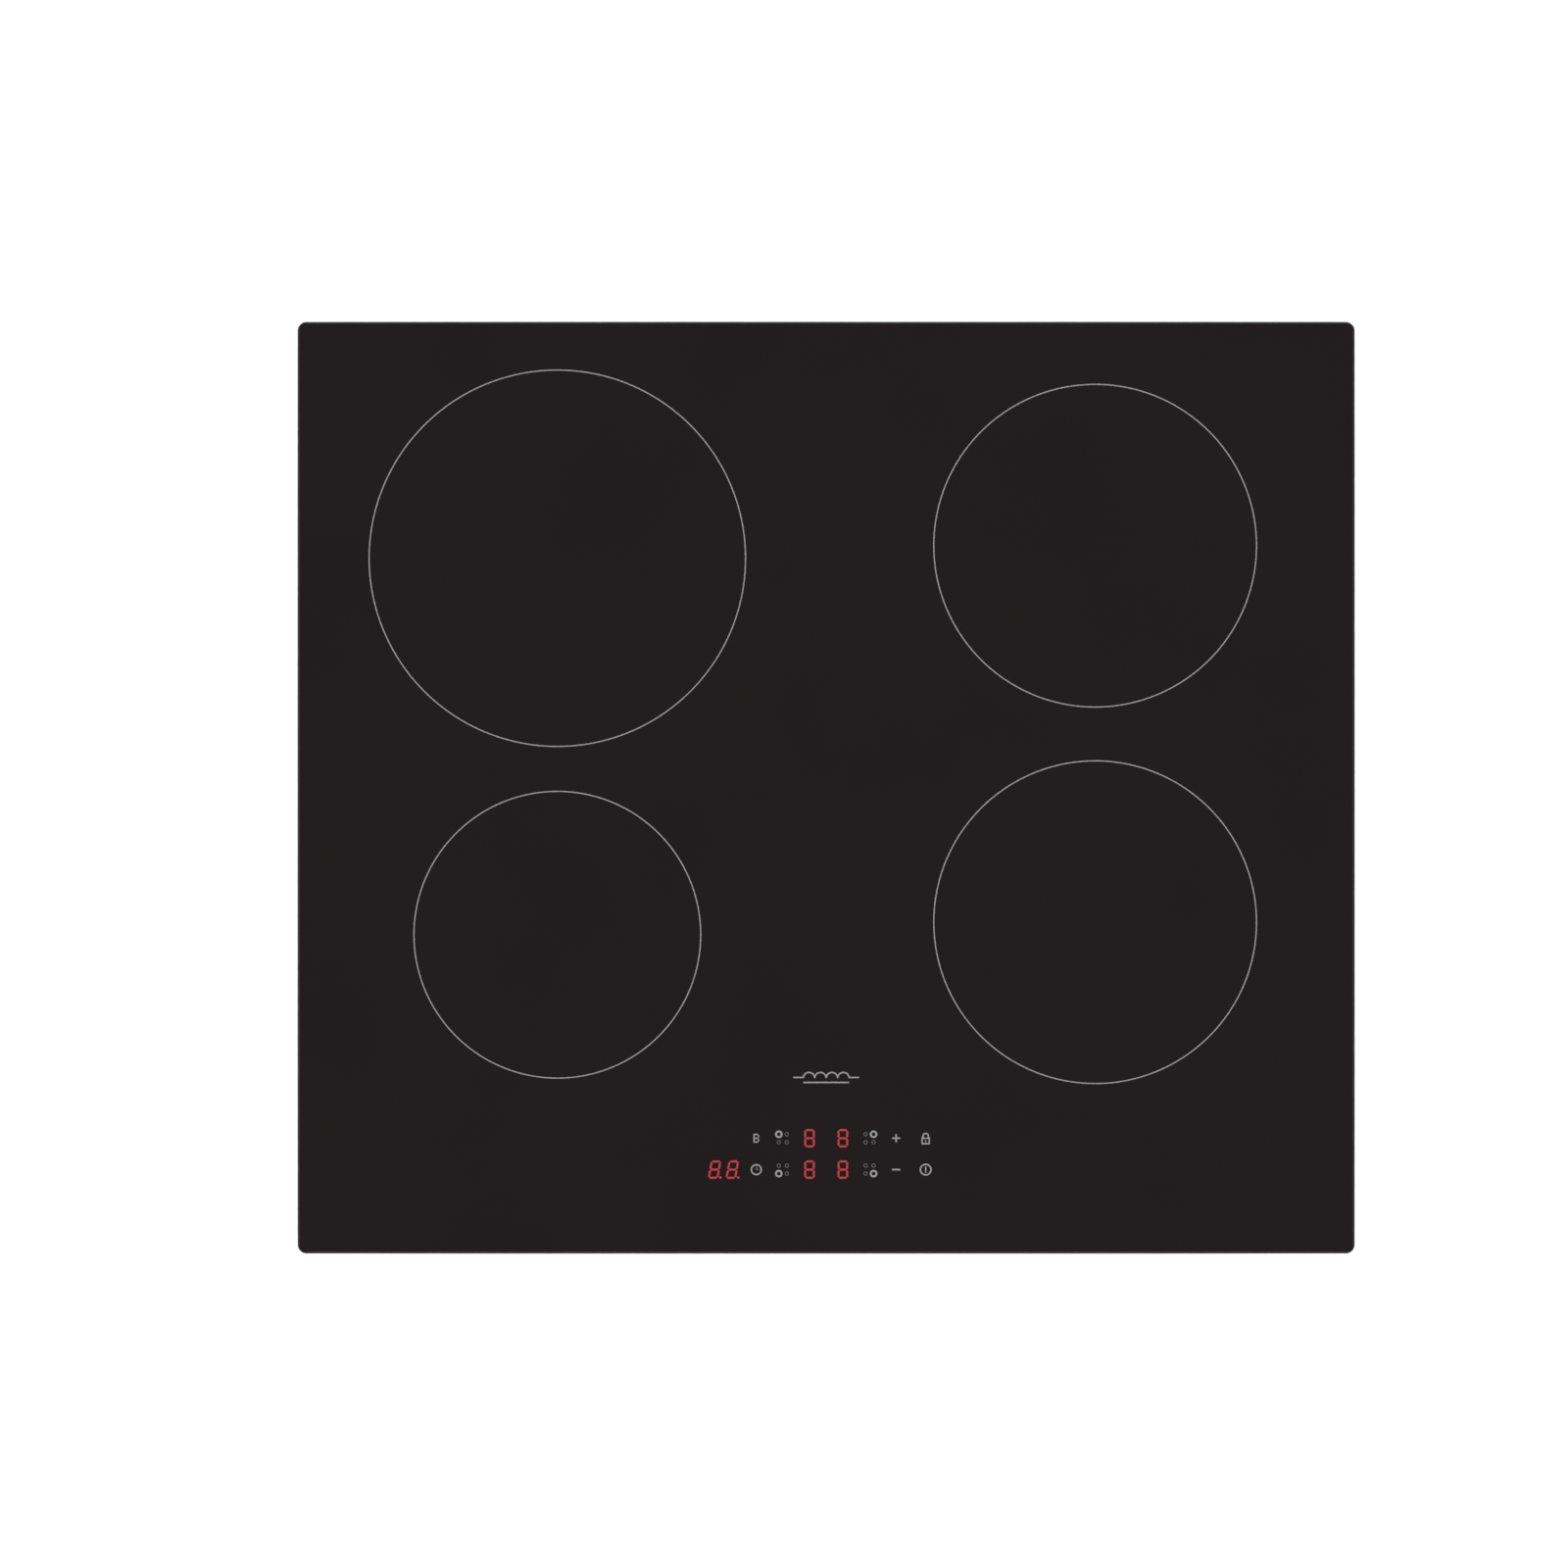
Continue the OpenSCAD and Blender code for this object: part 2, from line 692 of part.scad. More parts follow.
// A five-pole terminal block under the roof of the box, with its screws facing down
block_roof = floor_z + box_h - box_wall;
block_y = box_y0 + 4 * box_wall + block_d / 2;

module terminal_block() {
  color("#e4e0d4") difference() {
    translate([0, block_y, block_roof - block_h]) centred_box(block_w, block_d, block_h);
    for (i = [-2:2]) translate([i * pole_pitch, block_y, block_roof - block_h - cut]) {
      translate([0, -5, 0]) cylinder(r = 3.2, h = cut + 5, $fn = 24);
      translate([0, 5, 0]) cylinder(r = 3.2, h = cut + 5, $fn = 24);
    }
    for (i = [-1.5:1.5]) translate([i * pole_pitch, block_y, block_roof - block_h - cut])
      centred_box(1.2, block_d + 2 * cut, cut + 3);
  }
}

module terminal_screws() {
  color("#c8a24a") for (i = [-2:2], y = [-5, 5])
    translate([i * pole_pitch, block_y + y, block_roof - block_h + 5 - 2]) difference() {
      cylinder(r = 2.9, h = 2, $fn = 24);
      translate([0, 0, -cut]) centred_box(7, 0.8, cut + 0.8);
    }
}

module cable_bushing() {
  color("#26282a") translate([0, tray_d / 2, cable_z]) rotate([90, 0, 0]) difference() {
    union() {
      translate([0, 0, -bushing_flange_t]) cylinder(r = bushing_flange_r, h = bushing_flange_t, $fn = 48);
      cylinder(r = bushing_r, h = tray_t + seat_gap + 4 * box_wall - 1, $fn = 48);
    }
    translate([0, 0, -bushing_flange_t - cut]) cylinder(r = cable_bore_r, h = 30, $fn = 48);
  }
}

// ---------------------------------------------------------------- circuit boards

// Places the children at the four fixing holes of a board
module at_corners(w, d) {
  for (sx = [-1, 1], sy = [-1, 1]) translate([sx * (w / 2 - hole_inset), sy * (d / 2 - hole_inset), 0])
    children();
}

module carrier_base(w, d) {
  difference() {
    union() {
      difference() {
        translate([0, 0, floor_z]) centred_box(w, d, carrier_base_t);
        translate([0, 0, floor_z - cut])
          centred_box(w - 4 * hole_inset, d - 4 * hole_inset, carrier_base_t + 2 * cut);
      }
      at_corners(w, d) translate([0, 0, floor_z])
        cylinder(r = carrier_post_r, h = board_z - floor_z, $fn = 32);
    }
    at_corners(w, d) translate([0, 0, board_z - 6])
      cylinder(r = screw_r + screw_clear, h = 6 + cut, $fn = 24);
  }
}

module board_plate(w, d) {
  difference() {
    translate([0, 0, board_z]) centred_box(w, d, board_t);
    at_corners(w, d) translate([0, 0, board_z - cut])
      cylinder(r = screw_r + screw_clear, h = board_t + 2 * cut, $fn = 24);
  }
}

board_y = (board_y0 + board_y1) / 2;

module board_carriers() {
  color("#dcdcd6") {
    both_sides() translate([side_x, board_y, 0]) carrier_base(board_w, board_d);
    translate([0, filter_y, 0]) carrier_base(filter_w, filter_d);
  }
}

module power_board(side) {
  color("#2f6b3c") on_side(side) translate([side_x, board_y, 0]) board_plate(board_w, board_d);
}

module heatsink(side) {
  pitch = (sink_w - fin_t) / (fin_count - 1);
  color("#c4c7c9") on_side(side) translate([sink_x, sink_y, board_top]) {
    centred_box(sink_w, sink_l, sink_base);
    for (i = [0:fin_count - 1]) translate([-sink_w / 2 + i * pitch, -sink_l / 2, 0])
      cube([fin_t, sink_l, sink_h]);
  }
}

part_x = sink_x - sink_w / 2;   // inner side of the heatsink, where the power parts begin
terminal_h = 12;
plug_h = 6;
tag_x = part_x - 76;            // screw terminals on a power board
rear_tag_y = sink_y + 34;
front_tag_y = sink_y + 8;
mains_tag_y = sink_y - 30;
mains_tag_h = 15;
fan_plug_x = side_x - 24;
fan_plug_y = board_y1 - 5;
sense_x = side_x + 76;
rear_sense_y = sink_y + 40;
front_sense_y = sink_y - 70;
data_x = tag_x + 14;
data_y = board_y0 + 6;

// Parts soldered on a power board: transistors at the heatsink, capacitors, chokes, terminals and plugs
module power_parts(side) {
  on_side(side) translate([0, 0, board_top]) {
    color("#232323") for (i = [0:3]) translate([part_x - 2.5, sink_y - 42 + i * 28, 1])
      centred_box(5, 16, 21);
    color("#c0c4c6") for (i = [0:3], k = [-1:1])
      translate([part_x - 2.5, sink_y - 42 + i * 28 + k * 5, 0]) centred_box(1, 1.2, 1);
    color("#b8862c") for (i = [0:2]) translate([part_x - 46, sink_y - 44 + i * 34, 0])
      centred_box(32, 20, 24);
    color("#7d4a26") translate([part_x - 22, sink_y + 44, 0]) toroid(14, 6, 15);
    color("#7d4a26") translate([part_x - 22, sink_y - 62, 0]) toroid(12, 5, 13);
    color("#e8e4da") for (y = [rear_tag_y, front_tag_y]) translate([tag_x, y, 0])
      centred_box(14, 20, terminal_h);
    color("#232323") translate([tag_x, mains_tag_y, 0]) centred_box(18, 24, mains_tag_h);
    color("#e8e4da") translate([fan_plug_x, fan_plug_y, 0]) centred_box(8, 5, plug_h);
    color("#e8e4da") for (y = [rear_sense_y, front_sense_y]) translate([sense_x, y, 0])
      centred_box(6, 8, plug_h);
    color("#e8e4da") translate([data_x, data_y, 0]) centred_box(14, 5, plug_h);
    color("#1f2a44") for (y = [-6, 8, 22]) translate([sense_x, sink_y + y, 0])
      cylinder(r = 5.5, h = 17, $fn = 32);
    color("#d9b545") translate([sense_x, sink_y - 28, 0]) centred_box(18, 20, 15);
    color("#232323") translate([sense_x - 1, sink_y - 50, 0]) centred_box(12, 12, 1.6);
  }
}

module filter_board() {
  color("#2f6b3c") translate([0, filter_y, 0]) board_plate(filter_w, filter_d);
}

filter_in_y = filter_y + filter_d / 2 - 7;
filter_out_x = 18;
filter_out_y = filter_y - filter_d / 2 + 14;
mains_z = floor_z + box_h - 7;  // mains wires between the terminal box and the filter board

// Choke, capacitors, varistor, fuse in its clips, and terminals
module filter_parts() {
  translate([0, filter_y, board_top]) {
    color("#7d4a26") translate([-12, 4, 0]) toroid(16, 7, 20);
    color("#d9b545") translate([18, 28, 0]) centred_box(18, 30, 20);
    color("#d9b545") translate([20, -12, 0]) centred_box(12, 26, 20);
    color("#26507a") translate([-14, 34, 0]) cylinder(r = 7, h = 4.5, $fn = 32);
    color("#e9ecec") translate([-24, -34, 3.6]) rotate([0, 90, 0]) cylinder(r = 3, h = 32, $fn = 24);
    color("#c0c4c6") for (x = [-26, 10]) translate([x, -34, 0]) centred_box(4, 8, 7.2);
  }
  color("#e8e4da") translate([0, 0, board_top]) {
    for (side = [-1, 1]) translate([side * filter_out_x, filter_out_y, 0]) centred_box(20, 10, terminal_h);
    translate([0, filter_in_y, 0]) centred_box(40, 10, terminal_h);
  }
}

// ---------------------------------------------------------------- blowers

fan_z = floor_z;
inlet_r = impeller_r - 4;
stator_r = 11;
shaft_r = 1.5;
bearing_clear = 0.06;
cup_outer_r = 15;
cup_wall = 1.5;
impeller_gap = 1.5;
impeller_z0 = fan_z + fan_wall + impeller_gap;
impeller_z1 = fan_z + blower_h - fan_wall - impeller_gap;

module scroll(r, x0, h) {
  cylinder(r = r, h = h, $fn = 96);
  translate([x0, -duct_l, 0]) cube([r - x0, duct_l, h]);
}

module fan_housing(side) {
  color("#2c2f31") on_side(side) translate([side_x, fan_y, 0]) difference() {
    union() {
      difference() {
        translate([0, 0, fan_z]) scroll(scroll_r, scroll_r - duct_w, blower_h);
        translate([0, 0, fan_z + fan_wall])
          scroll(scroll_r - fan_wall, scroll_r - duct_w + fan_wall, blower_h - 2 * fan_wall);
        translate([scroll_r - duct_w + fan_wall, -duct_l - cut, fan_z + fan_wall])
          cube([duct_w - 2 * fan_wall, 4, blower_h - 2 * fan_wall]);
        translate([0, 0, fan_z - cut]) cylinder(r = inlet_r, h = fan_wall + 2 * cut, $fn = 96);
      }
      translate([0, 0, impeller_z0 + 8])
        cylinder(r = stator_r, h = fan_z + blower_h - impeller_z0 - 8, $fn = 48);
    }
    translate([0, 0, fan_z]) cylinder(r = shaft_r + bearing_clear, h = blower_h - 1, $fn = 32);
  }
}

blade_t = 0.8;
blade_arc_r = 6;
blade_sweep = 60;

// A cup over the motor, a back plate, curved blades and a ring round the inlet side
module fan_rotor(side) {
  h = impeller_z1 - impeller_z0;
  color("#3b3f42") on_side(side) translate([side_x, fan_y, impeller_z0]) {
    translate([0, 0, h - cup_wall]) tube(impeller_r, impeller_r - cup_outer_r + 1, cup_wall);
    tube(impeller_r, 2.5, 1.6);
    difference() {
      translate([0, 0, 4]) cylinder(r = cup_outer_r, h = h - 4, $fn = 64);
      translate([0, 0, 4 + cup_wall]) cylinder(r = cup_outer_r - cup_wall, h = h, $fn = 64);
    }
    translate([0, 0, 4]) cylinder(r = shaft_r, h = h - 4, $fn = 32);
    for (i = [0:blade_count - 1]) rotate(360 / blade_count * i)
      translate([impeller_r - blade_arc_r - 0.6, 0, 0.5])
      rotate(-90 - blade_sweep / 2) translate([-blade_arc_r, 0, 0])
        rotate_extrude(angle = blade_sweep, $fn = 48)
        translate([blade_arc_r, 0]) square([blade_t, h - 1]);
  }
}

// ---------------------------------------------------------------- coil plates and springs

function side_zones(side) = [for (z = zones) if (z[0] == side) z];

module coil_plate(side) {
  color("#d5d8da") difference() {
    union() {
      on_side(side) {
        translate([plate_x0, plate_y0, plate_z]) cube([plate_x1 - plate_x0, plate_y1 - plate_y0, plate_t]);
        for (y = [plate_y0, plate_y1 - plate_t]) translate([plate_x0 + 10, y, plate_top - lip_h])
          cube([plate_x1 - plate_x0 - 20, plate_t, lip_h]);
        for (y = [leg_y0, leg_y1]) {
          for (x = [plate_x0, plate_x1 - plate_t]) translate([x, y - leg_w / 2, dimple_z])
            cube([plate_t, leg_w, plate_top - dimple_z]);
          for (x = [plate_x0, plate_x1 - foot_l - plate_t]) translate([x, y - leg_w / 2, dimple_z])
            cube([foot_l + plate_t, leg_w, plate_t]);
        }
      }
      for (z = side_zones(side)) at_zone(z) at_cups(z) translate([0, 0, plate_z])
        cylinder(r = post_r, h = plate_t + post_h, $fn = 24);
    }
    for (z = side_zones(side)) at_zone(z) translate([0, 0, plate_z - cut])
      cylinder(r = lead_hole_r, h = plate_t + 2 * cut, $fn = 48);
    on_side(side) for (y = [leg_y0, leg_y1],
      x = [plate_x0 + foot_l / 2 + plate_t, plate_x1 - foot_l / 2 - plate_t])
      translate([x, y, dimple_z - cut]) {
        cylinder(r = screw_r + screw_clear, h = plate_t + 2 * cut, $fn = 24);
        translate([0, 0, plate_z - dimple_z]) cylinder(r = 4, h = plate_t + 2 * cut, $fn = 24);
      }
  }
}

module coil_springs() {
  color("#bfc3c6") for (z = zones) at_zone(z) at_cups(z) translate([0, 0, plate_top])
    spring_sleeve(spring_r, spring_wire, carrier_z - plate_top - seat_gap, 6);
}

// ---------------------------------------------------------------- coil units

pocket_clear = 0.15;
spoke_wall = 1.2;

function bar_r0(z) = hub_r + 3;
function bar_r1(z) = coil_r(z) - 6;

module coil_carrier(z) {
  spoke_w = ferrite_w + 2 * (pocket_clear + spoke_wall);
  spoke_x0 = bar_r0(z) - spoke_wall - pocket_clear;
  spoke_x1 = bar_r1(z) + spoke_wall + pocket_clear;
  rim_r = coil_r(z) + rim_clear + rim_t;
  color("#3a3d40") at_zone(z) difference() {
    union() {
      translate([0, 0, carrier_z]) tube(hub_r + 4, hub_r + 4 - sensor_stem_r - sensor_clear, carrier_t);
      translate([0, 0, carrier_z]) tube(rim_r, outer_band, carrier_t);
      translate([0, 0, carrier_z]) tube(rim_r, rim_t, carrier_t + winding_t - 0.4);
      translate([0, 0, carrier_z - 3]) tube(sensor_stem_r + sensor_clear + 1.5, 1.5, 3 + eps);
      at_bars(z) translate([spoke_x0, -spoke_w / 2, carrier_z - ferrite_t + 1])
        cube([spoke_x1 - spoke_x0, spoke_w, ferrite_t - 1 + carrier_t]);
      at_cups(z) translate([0, 0, carrier_z - cup_h]) cylinder(r = cup_r, h = cup_h + eps, $fn = 32);
    }
    at_bars(z) translate([bar_r0(z) - pocket_clear, -ferrite_w / 2 - pocket_clear,
      carrier_z - ferrite_t - cut])
      cube([bar_r1(z) - bar_r0(z) + 2 * pocket_clear, ferrite_w + 2 * pocket_clear, ferrite_t + cut]);
    at_cups(z) translate([0, 0, carrier_z - cup_h - cut])
      cylinder(r = cup_r - 1.2, h = cup_h + cut, $fn = 32);
  }
}

module ferrites(z) {
  color("#2b2c2e") at_zone(z) at_bars(z) translate([bar_r0(z), -ferrite_w / 2, carrier_z - ferrite_t])
    cube([bar_r1(z) - bar_r0(z), ferrite_w, ferrite_t]);
}

// The turns of one group from r0 outwards, each a ridge with sloping shoulders
function ridge_points(r0, n) = [for (i = [0:n - 1]) each [
  [r0 + i * turn_pitch, winding_t * 0.75],
  [r0 + (i + 0.28) * turn_pitch, winding_t],
  [r0 + (i + 0.72) * turn_pitch, winding_t]
]];

module turn_group(r0, n) {
  r1 = r0 + n * turn_pitch;
  rotate_extrude($fn = 96)
    polygon(concat([[r0, 0]], ridge_points(r0, n), [[r1, winding_t * 0.75], [r1, 0]]));
}

module coil_winding(z) {
  per_group = floor((coil_r(z) - hub_r - group_gap) / turn_pitch / 2);
  outer_r0 = coil_r(z) - per_group * turn_pitch;
  color("#b5652f") at_zone(z) translate([0, 0, winding_z]) {
    turn_group(hub_r, per_group);
    turn_group(outer_r0, per_group);
  }
}

module mica_disc(z) {
  color("#cfc6b4") at_zone(z) translate([0, 0, mica_z])
    tube(coil_r(z) + rim_clear + rim_t, coil_r(z) + rim_clear + rim_t - 8, mica_t);
}

module heat_sensor(z) {
  color("#d8d8d2") at_zone(z) {
    translate([0, 0, winding_z]) cylinder(r = sensor_r, h = glass_z - seat_gap - winding_z, $fn = 32);
    translate([0, 0, carrier_z - 5])
      cylinder(r = sensor_stem_r, h = winding_z - carrier_z + 5 + eps, $fn = 32);
  }
}

// ---------------------------------------------------------------- touch unit

touch_leg_x = touch_w / 2 - 7;
touch_leg_y = 12;

module at_touch_legs() {
  for (sx = [-1, 1], sy = [-1, 1])
    translate([touch_x + sx * touch_leg_x, key_mid_y + sy * touch_leg_y, 0]) children();
}

module touch_carrier() {
  base_z = touch_board_z - 6;
  color("#e2e2dd") difference() {
    union() {
      translate([touch_x, key_mid_y, base_z]) difference() {
        centred_box(touch_w + 2 * touch_wall + 1, touch_d + 2 * touch_wall + 1, 6 + board_t + 2);
        translate([0, 0, touch_wall]) centred_box(touch_w + 1, touch_d + 1, 20);
      }
      at_touch_legs() translate([0, 0, floor_z]) cylinder(r = 4, h = touch_board_z - floor_z, $fn = 32);
    }
    at_touch_legs() translate([0, 0, touch_board_z - 8])
      cylinder(r = screw_r + screw_clear, h = 8 + cut, $fn = 24);
  }
}

ribbon_x = touch_x + 65;
ribbon_plug_y = key_mid_y + touch_d / 2 - 2.5;

// The touch board with the socket of its flat cable
module touch_board() {
  color("#1f5a34") difference() {
    translate([touch_x, key_mid_y, touch_board_z]) centred_box(touch_w, touch_d, board_t);
    at_touch_legs() translate([0, 0, touch_board_z - cut])
      cylinder(r = screw_r + screw_clear, h = board_t + 2 * cut, $fn = 24);
  }
  color("#e8e4da") translate([ribbon_x, ribbon_plug_y - 2, touch_top]) centred_box(13, 4, 5);
}

module display_modules() {
  h = glass_z - seat_gap - touch_top;
  color("#e9e9e6") {
    for (x = [-digit_x, digit_x], y = [key_y1, key_y2]) translate([x, y, touch_top])
      centred_box(digit_w + 4, digit_h + 3, h);
    translate([timer_x, key_y2, touch_top]) centred_box(timer_pitch + digit_w + 5, digit_h + 3, h);
  }
}

key_places = [
  [clock_x, key_y1], [clock_x, key_y2], [-pick_x, key_y1], [-pick_x, key_y2], [pick_x, key_y1],
  [pick_x, key_y2], [level_x, key_y1], [level_x, key_y2], [lock_x, key_y1], [lock_x, key_y2]
];

module touch_springs() {
  color("#c7cacc") for (p = key_places) translate([p[0], p[1], touch_top])
    spring_sleeve(3.6, 0.9, glass_z - seat_gap - touch_top, 7);
}

// ---------------------------------------------------------------- screws

module case_screws() {
  color("#d6d9db") {
    at_clips() translate([clip_t, 0, clip_screw_z]) rotate([0, 90, 0])
      pan_screw(clip_t + tray_t + clip_post);
    for (s = [-1, 1]) translate([s * cover_screw_x, box_mid_y, -tray_depth + cover_head_sink])
      rotate([180, 0, 0]) pan_screw(cover_t - cover_head_sink + 4, head_h = 1);
  }
}

module chassis_screws() {
  color("#d6d9db") {
    at_feet() translate([0, 0, dimple_z + plate_t]) pan_screw(plate_t + tray_t + 1.2);
    both_sides() translate([side_x, board_y, board_top]) at_corners(board_w, board_d)
      pan_screw(board_t + 5);
    translate([0, filter_y, board_top]) at_corners(filter_w, filter_d) pan_screw(board_t + 5);
    at_touch_legs() translate([0, 0, touch_top]) pan_screw(board_t + 6);
  }
}

// ---------------------------------------------------------------- wiring

function unit(v) = v / norm(v);
function along(path, i) = unit(path[min(i + 1, len(path) - 1)] - path[max(i - 1, 0)]);
function square_to(u, t) = unit(u - (u * t) * t);

// One vector across the route at each of its points, carried along without twisting
function across(path) = let (t = along(path, 0), first = abs(t[1]) > 0.9 ? [1, 0, 0] : [0, 1, 0])
  [for (i = 0, u = square_to(first, t); i < len(path);
    i = i + 1, u = i < len(path) ? square_to(u, along(path, i)) : u) u];

// A closed solid with the same section all along a route
module sweep(path, section) {
  n = len(path);
  m = len(section);
  sides = across(path);
  points = [for (i = [0:n - 1], q = section)
    path[i] + q[0] * sides[i] + q[1] * cross(along(path, i), sides[i])];
  walls = [for (i = [0:n - 2], k = [0:m - 1], half = [0, 1]) let (a = i * m + k, b = i * m + (k + 1) % m)
    half == 0 ? [a, a + m, b] : [b, a + m, b + m]];
  caps = [[for (k = [0:m - 1]) k], [for (k = [m - 1:-1:0]) (n - 1) * m + k]];
  polyhedron(points, concat(walls, caps));
}

module wire(path, r) {
  sweep(path, [for (k = [0:5]) r * [cos(60 * k), sin(60 * k)]]);
}

// The same route with each corner rounded off over the length r
function rounded(corners, r, steps = 4) = let (n = len(corners)) concat(
  [corners[0]],
  [for (i = [1:n - 2]) let (
    c = corners[i],
    a = c + r * unit(corners[i - 1] - c),
    b = c + r * unit(corners[i + 1] - c)
  ) for (k = [0:steps]) let (t = k / steps) (1 - t) * (1 - t) * a + 2 * t * (1 - t) * c + t * t * b],
  [corners[n - 1]]
);

wire_r = 1.3;
litz_r = 1.5;
thin_r = 0.7;
layer_z = plate_z - 3.1;        // wires under the coil plates
low_z = board_top + 20;         // wires between the boards
lead_top = carrier_z - float_travel - 1;
wire_gap = 0.4;                 // kept on each side of a pair's middle
ribbon_t = 0.8;
ribbon_z = touch_top + 3;
ribbon_y = (plate_y0 + key_mid_y + touch_d / 2 + touch_wall + 0.5) / 2;

// How far each wire of a pair ends from the pair's middle, so that a slanted run keeps the two apart
function pair_step(least, r, ahead, aside) = max(least, (r + wire_gap) * norm([ahead, aside]) / abs(ahead));

// From (x0, y0, z0) up or down to z, across to (x1, y1), and on to z1
function hop(x0, y0, z0, z, x1, y1, z1) = [[x0, y0, z0], [x0, y0, z], [x1, y1, z], [x1, y1, z1]];

module wiring() {
  // mains from the terminal block to the filter board
  color("#6b4a2c") for (i = [-1:1]) let (x = i * pole_pitch) wire(rounded([
    [x, block_y - block_d / 2, mains_z], [x, filter_in_y, mains_z], [x, filter_in_y,
      board_top + terminal_h]], 3), wire_r);
  both_sides() {
    // filter board to power board
    color("#3a3a3a") for (i = [-1, 1])
      let (x = i * pair_step(4, wire_r, mains_tag_y - filter_out_y, tag_x - filter_out_x))
      wire(rounded(hop(filter_out_x + x, filter_out_y, board_top + terminal_h, low_z,
        tag_x + x, mains_tag_y, board_top + mains_tag_h), 4), wire_r);
    // blower leads
    color("#a02020") for (i = [-1, 1]) let (x = fan_plug_x + 1.6 * i, z = fan_z + blower_h + thin_r)
      wire(rounded([
      [x, fan_y - 8, z], [x, fan_plug_y, z], [x, fan_plug_y, board_top + plug_h]], 4), thin_r);
  }
  // coil leads end below the coils' hubs, and the sensor leads below the sensors, so that the coils can sink
  for (z = zones) let (p = zone_pos(z), s = z[0], tag_y = z[1] > 0 ? rear_tag_y : front_tag_y) {
    color("#b5652f") for (i = [-1, 1])
      let (y = i * pair_step(5, litz_r, p[0] - s * (8 + tag_x), p[1] - tag_y))
      wire(rounded(hop(p[0] - s * 8, p[1] + y, lead_top, layer_z,
        s * tag_x, tag_y + y, board_top + terminal_h), 4), litz_r);
    color("#d8d4c8") wire(rounded(hop(p[0] + s * 2, p[1], carrier_z - 5 - float_travel - seat_gap, layer_z,
      s * sense_x, z[1] > 0 ? rear_sense_y : front_sense_y, board_top + plug_h), 4), thin_r);
  }
  // flat cable from the touch board to the right power board
  color("#cfcfcb") sweep(rounded([
    [ribbon_x, ribbon_plug_y, ribbon_z], [ribbon_x, ribbon_y, ribbon_z], [ribbon_x, ribbon_y, low_z],
    [data_x, data_y, low_z], [data_x, data_y, board_top + plug_h]], 2.2),
    [for (q = [[-1, -1], [1, -1], [1, 1], [-1, 1]]) [q[0] * 5, q[1] * ribbon_t / 2]]);
}

// ---------------------------------------------------------------- nodes

glass_panel();
zone_rings();
control_icons();
display_segments();
worktop_seal();
glass_adhesive();
base_tray();
clip_plates();
clip_leaf(-1, -1);  // clip_leaf_front_left
clip_leaf(1, -1);  // clip_leaf_front_right
clip_leaf(-1, 1);  // clip_leaf_rear_left
clip_leaf(1, 1);  // clip_leaf_rear_right
case_screws();
terminal_box();
terminal_cover();
terminal_block();
terminal_screws();
cable_bushing();
board_carriers();
power_board(-1);  // power_board_left
power_board(1);  // power_board_right
heatsink(-1);  // heatsink_left
heatsink(1);  // heatsink_right
power_parts(-1);  // power_parts_left
power_parts(1);  // power_parts_right
fan_housing(-1);  // fan_housing_left
fan_housing(1);  // fan_housing_right
fan_rotor(-1);  // fan_rotor_left
fan_rotor(1);  // fan_rotor_right
coil_plate(-1);  // coil_plate_left
coil_plate(1);  // coil_plate_right
chassis_screws();
filter_board();
filter_parts();
touch_carrier();
touch_board();
display_modules();
touch_springs();
coil_springs();
coil_carrier(rear_left);  // coil_carrier_rear_left
coil_carrier(rear_right);  // coil_carrier_rear_right
coil_carrier(front_right);  // coil_carrier_front_right
coil_carrier(front_left);  // coil_carrier_front_left
coil_winding(rear_left);  // coil_winding_rear_left
coil_winding(rear_right);  // coil_winding_rear_right
coil_winding(front_right);  // coil_winding_front_right
coil_winding(front_left);  // coil_winding_front_left
ferrites(rear_left);  // ferrites_rear_left
ferrites(rear_right);  // ferrites_rear_right
ferrites(front_right);  // ferrites_front_right
ferrites(front_left);  // ferrites_front_left
mica_disc(rear_left);  // mica_disc_rear_left
mica_disc(rear_right);  // mica_disc_rear_right
mica_disc(front_right);  // mica_disc_front_right
mica_disc(front_left);  // mica_disc_front_left
heat_sensor(rear_left);  // heat_sensor_rear_left
heat_sensor(rear_right);  // heat_sensor_rear_right
heat_sensor(front_right);  // heat_sensor_front_right
heat_sensor(front_left);  // heat_sensor_front_left
wiring();
